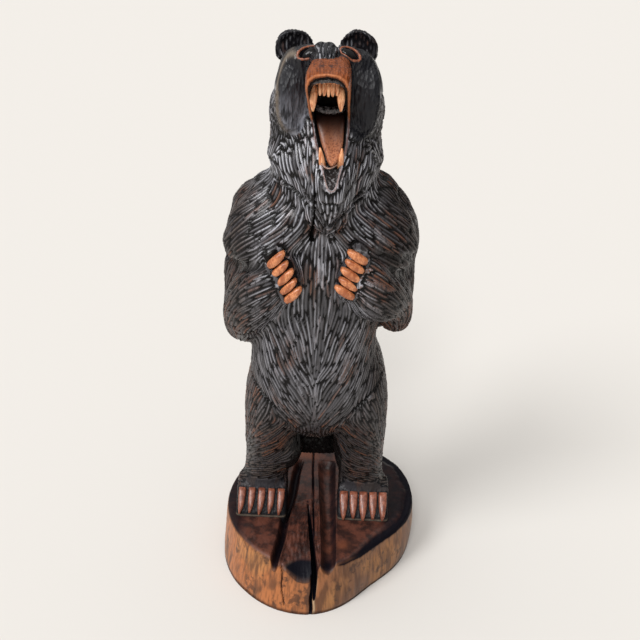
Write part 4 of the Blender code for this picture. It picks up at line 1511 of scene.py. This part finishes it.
# Rows of places from the floor up and then in over the deck, with how much each is deck, charred and pale.
rows, notes = [], []
for t in (row / SIDE_ROWS for row in range(SIDE_ROWS + 1)):
    z = rim_height * t
    scale = 1 - (1 - RIM_SCALE) * z / (LOG_THICK * 0.94)
    x, y = ring_at(scale - FOOT_ROUND * np.clip(1 - z / FOOT_ROUND, 0, 1) ** 2, z)
    places = np.stack([x, y, z], 1)
    fibre = noise_at(places, 9.0, (16.0, 16.0, 1.6))
    lump = noise_at(places, 14.0)
    check_mid = np.interp(z, (0.0, 0.06, 0.118), (-0.0155, -0.014, -0.008)) + 0.0012 * np.sin(z * 130)
    check_half = np.interp(z, (0.0, 0.05, 0.118), (0.0038, 0.004, 0.008))
    check = trough(x - check_mid, check_half, 3.0) * (y < 0)
    split_mid = np.interp(z, (0.0, 0.105), (-0.0735, -0.0835)) + 0.0015 * np.sin(z * 90)
    split = trough(x - split_mid, 0.0017) * (y < 0) * ease((z - 0.012) / 0.01)
    inward = 0.0011 * (fibre * 0.5 + 0.5) + 0.0016 * (lump * 0.5 + 0.5)
    inward += check * np.interp(z, (0.0, 0.02, 0.08), (0.004, 0.012, 0.024)) + split * 0.006
    inward += ease((0.012 - z) / 0.01) * (0.5 + 0.5 * lump) * 0.003
    inward *= np.clip(z / 0.004, 0.25, 1)
    # The right flank and the front turn in towards the floor.
    way = np.arctan2(y, x)
    inward += 0.013 * swell_at(way, -12, 42) * np.clip(1 - z / 0.075, 0, 1) ** 1.6
    inward += 0.009 * swell_at(way, -68, 26) * np.clip(1 - z / 0.05, 0, 1) ** 1.5
    length = np.hypot(x, y)
    x, y = x * (1 - inward / length), y * (1 - inward / length)
    rows.append(np.stack([x, y, z], 1))
    splinter = np.exp(-(((x - check_mid - check_half - 0.003) / 0.0022) ** 2)) * ease((0.088 - z) / 0.015)
    turn = np.degrees(np.arctan2(y + 0.01, x))
    scorch = ease((z - rim_height + 0.004) / 0.004) * ease((turn + 80) / 5) * ease((100 - turn) / 25)
    foot_char = 0.75 * ease((0.01 - z) / 0.008)
    char = [ease(check * 3), 0.85 * ease(split * 2), scorch, foot_char, (t > 0.999) * edge_depth * 20]
    notes.append((z * 0, np.maximum.reduce(char), splinter * (y < 0)))
for ring in range(1, DECK_RINGS + 1):
    scale = RIM_SCALE * (1 - ring / (DECK_RINGS + 1)) ** 0.92
    x, y = ring_at(scale, LOG_THICK)
    depth, char, pale = deck_relief(x, y, scale)
    rows.append(np.stack([x, y, LOG_THICK + DECK_TILT * y / LOG_RADIUS - depth], 1))
    notes.append((x * 0 + 1, char, pale))
log_piece = new_piece("log_base", lambda shape: skin_rings(shape, [row.tolist() for row in rows]))
deck, char, pale = np.concatenate(notes, 1)
note(log_piece.data, deck=deck, char=char, pale=pale)


def paint_log(tree):
    """Brownish orange side with dark grain and knots, dark red deck, black where it is charred and where shade
    is painted.
    """
    here = place_in(tree)
    streaks, fibres, patches = grain(tree, 55.0, 7.0)
    knots = spots_at(here, 38.0, 4.0, Roughness=0.65)
    char = attribute(tree, "char")
    side = layered(
        (0.2, 0.088, 0.04),
        # Painted light: the side is painted lighter orange towards the left.
        (ramp(parted(here) + patches * 0.1, 0.12, -0.04), (0.38, 0.132, 0.044)),
        (ramp(patches, 0.5, 0.7) * 0.7, (0.42, 0.19, 0.064)),
        (ramp(streaks, 0.5, 0.34) * 0.75, (0.08, 0.032, 0.016)),
        (ramp(fibres, 0.56, 0.36) * 0.5, (0.1, 0.042, 0.018)),
        (ramp(knots, 0.54, 0.66) * 0.75, (0.045, 0.02, 0.012)),
    )
    deck = layered(
        (0.026, 0.011, 0.009),
        (ramp(knots, 0.38, 0.64), (0.1, 0.034, 0.022)),
        (ramp(patches, 0.58, 0.74), (0.15, 0.046, 0.022)),
    )
    # Pale from the splinter's wood, and painted highlights along the rim and by the scoop.
    pale = (attribute(tree, "pale"), (0.43, 0.29, 0.17))
    return {
        "Base Color": layered(side, (attribute(tree, "deck"), deck), pale, (char, (0.004, 0.004, 0.007))),
        "Specular IOR Level": 0.32 - char * 0.27,
        "Roughness": patches * 0.3 + 0.24,
        "Normal": bump(fibres + knots, 0.45, 0.0012),
    }


finish_piece(log_piece, new_material("log_wood", paint_log), Vector((0, 0, 0)))

# ------------------------------------------------------------
# Floor, lights and camera.

bpy.ops.mesh.primitive_plane_add(size=40)
floor = bpy.context.object
floor.name = "floor"
paper = {"Base Color": (0.668, 0.645, 0.614), "Roughness": 1.0, "Specular IOR Level": 0.0}
floor.data.materials.append(new_material("pale_floor", lambda tree: paper))

# A soft light from all round, brightest overhead and on the left, dim near the floor.
world = bpy.data.worlds.new("studio")
bpy.context.scene.world = world
world.use_nodes = True
way = parted(add_node(world.node_tree, "ShaderNodeTexCoord")["Generated"])
strength = ramp(way["Z"], 0.1, 1.0) * 0.75 + way * -0.3 + 0.25
plug(strength | 0.05, world.node_tree.nodes["Background"].inputs["Strength"])
plug((1.0, 0.985, 0.965), world.node_tree.nodes["Background"].inputs["Color"])

# Soft lights from far off, so that the floor is lit evenly: the way each shines, its strength and its spread.
for name, way, energy, spread in (
    ("softbox", (0.45, 2.3, -2.05), 1.02, 15),
    ("window", (0.62, 0.5, -0.8), 1.74, 24),
):
    light = bpy.data.lights.new(name, "SUN")
    light.energy = energy
    light.angle = radians(spread)
    put(name, light).rotation_euler = Vector(way).to_track_quat("-Z", "Y").to_euler()

CAMERA_AT, CAMERA_DOWN, CAMERA_ROLL = Vector((-0.019, -1.797, 1.6)), radians(29), atan(0.04)
camera_data = bpy.data.cameras.new("camera")
camera_data.lens = 55.40625
camera_data.sensor_width = 36
camera = put("camera", camera_data)
turn = Vector((0, cos(CAMERA_DOWN), -sin(CAMERA_DOWN))).to_track_quat("-Z", "Y").to_matrix().to_4x4()
camera.matrix_world = Matrix.Translation(CAMERA_AT) @ turn @ Matrix.Rotation(CAMERA_ROLL, 4, "Z")
bpy.context.scene.camera = camera
bpy.context.scene.view_settings.view_transform = "Standard"
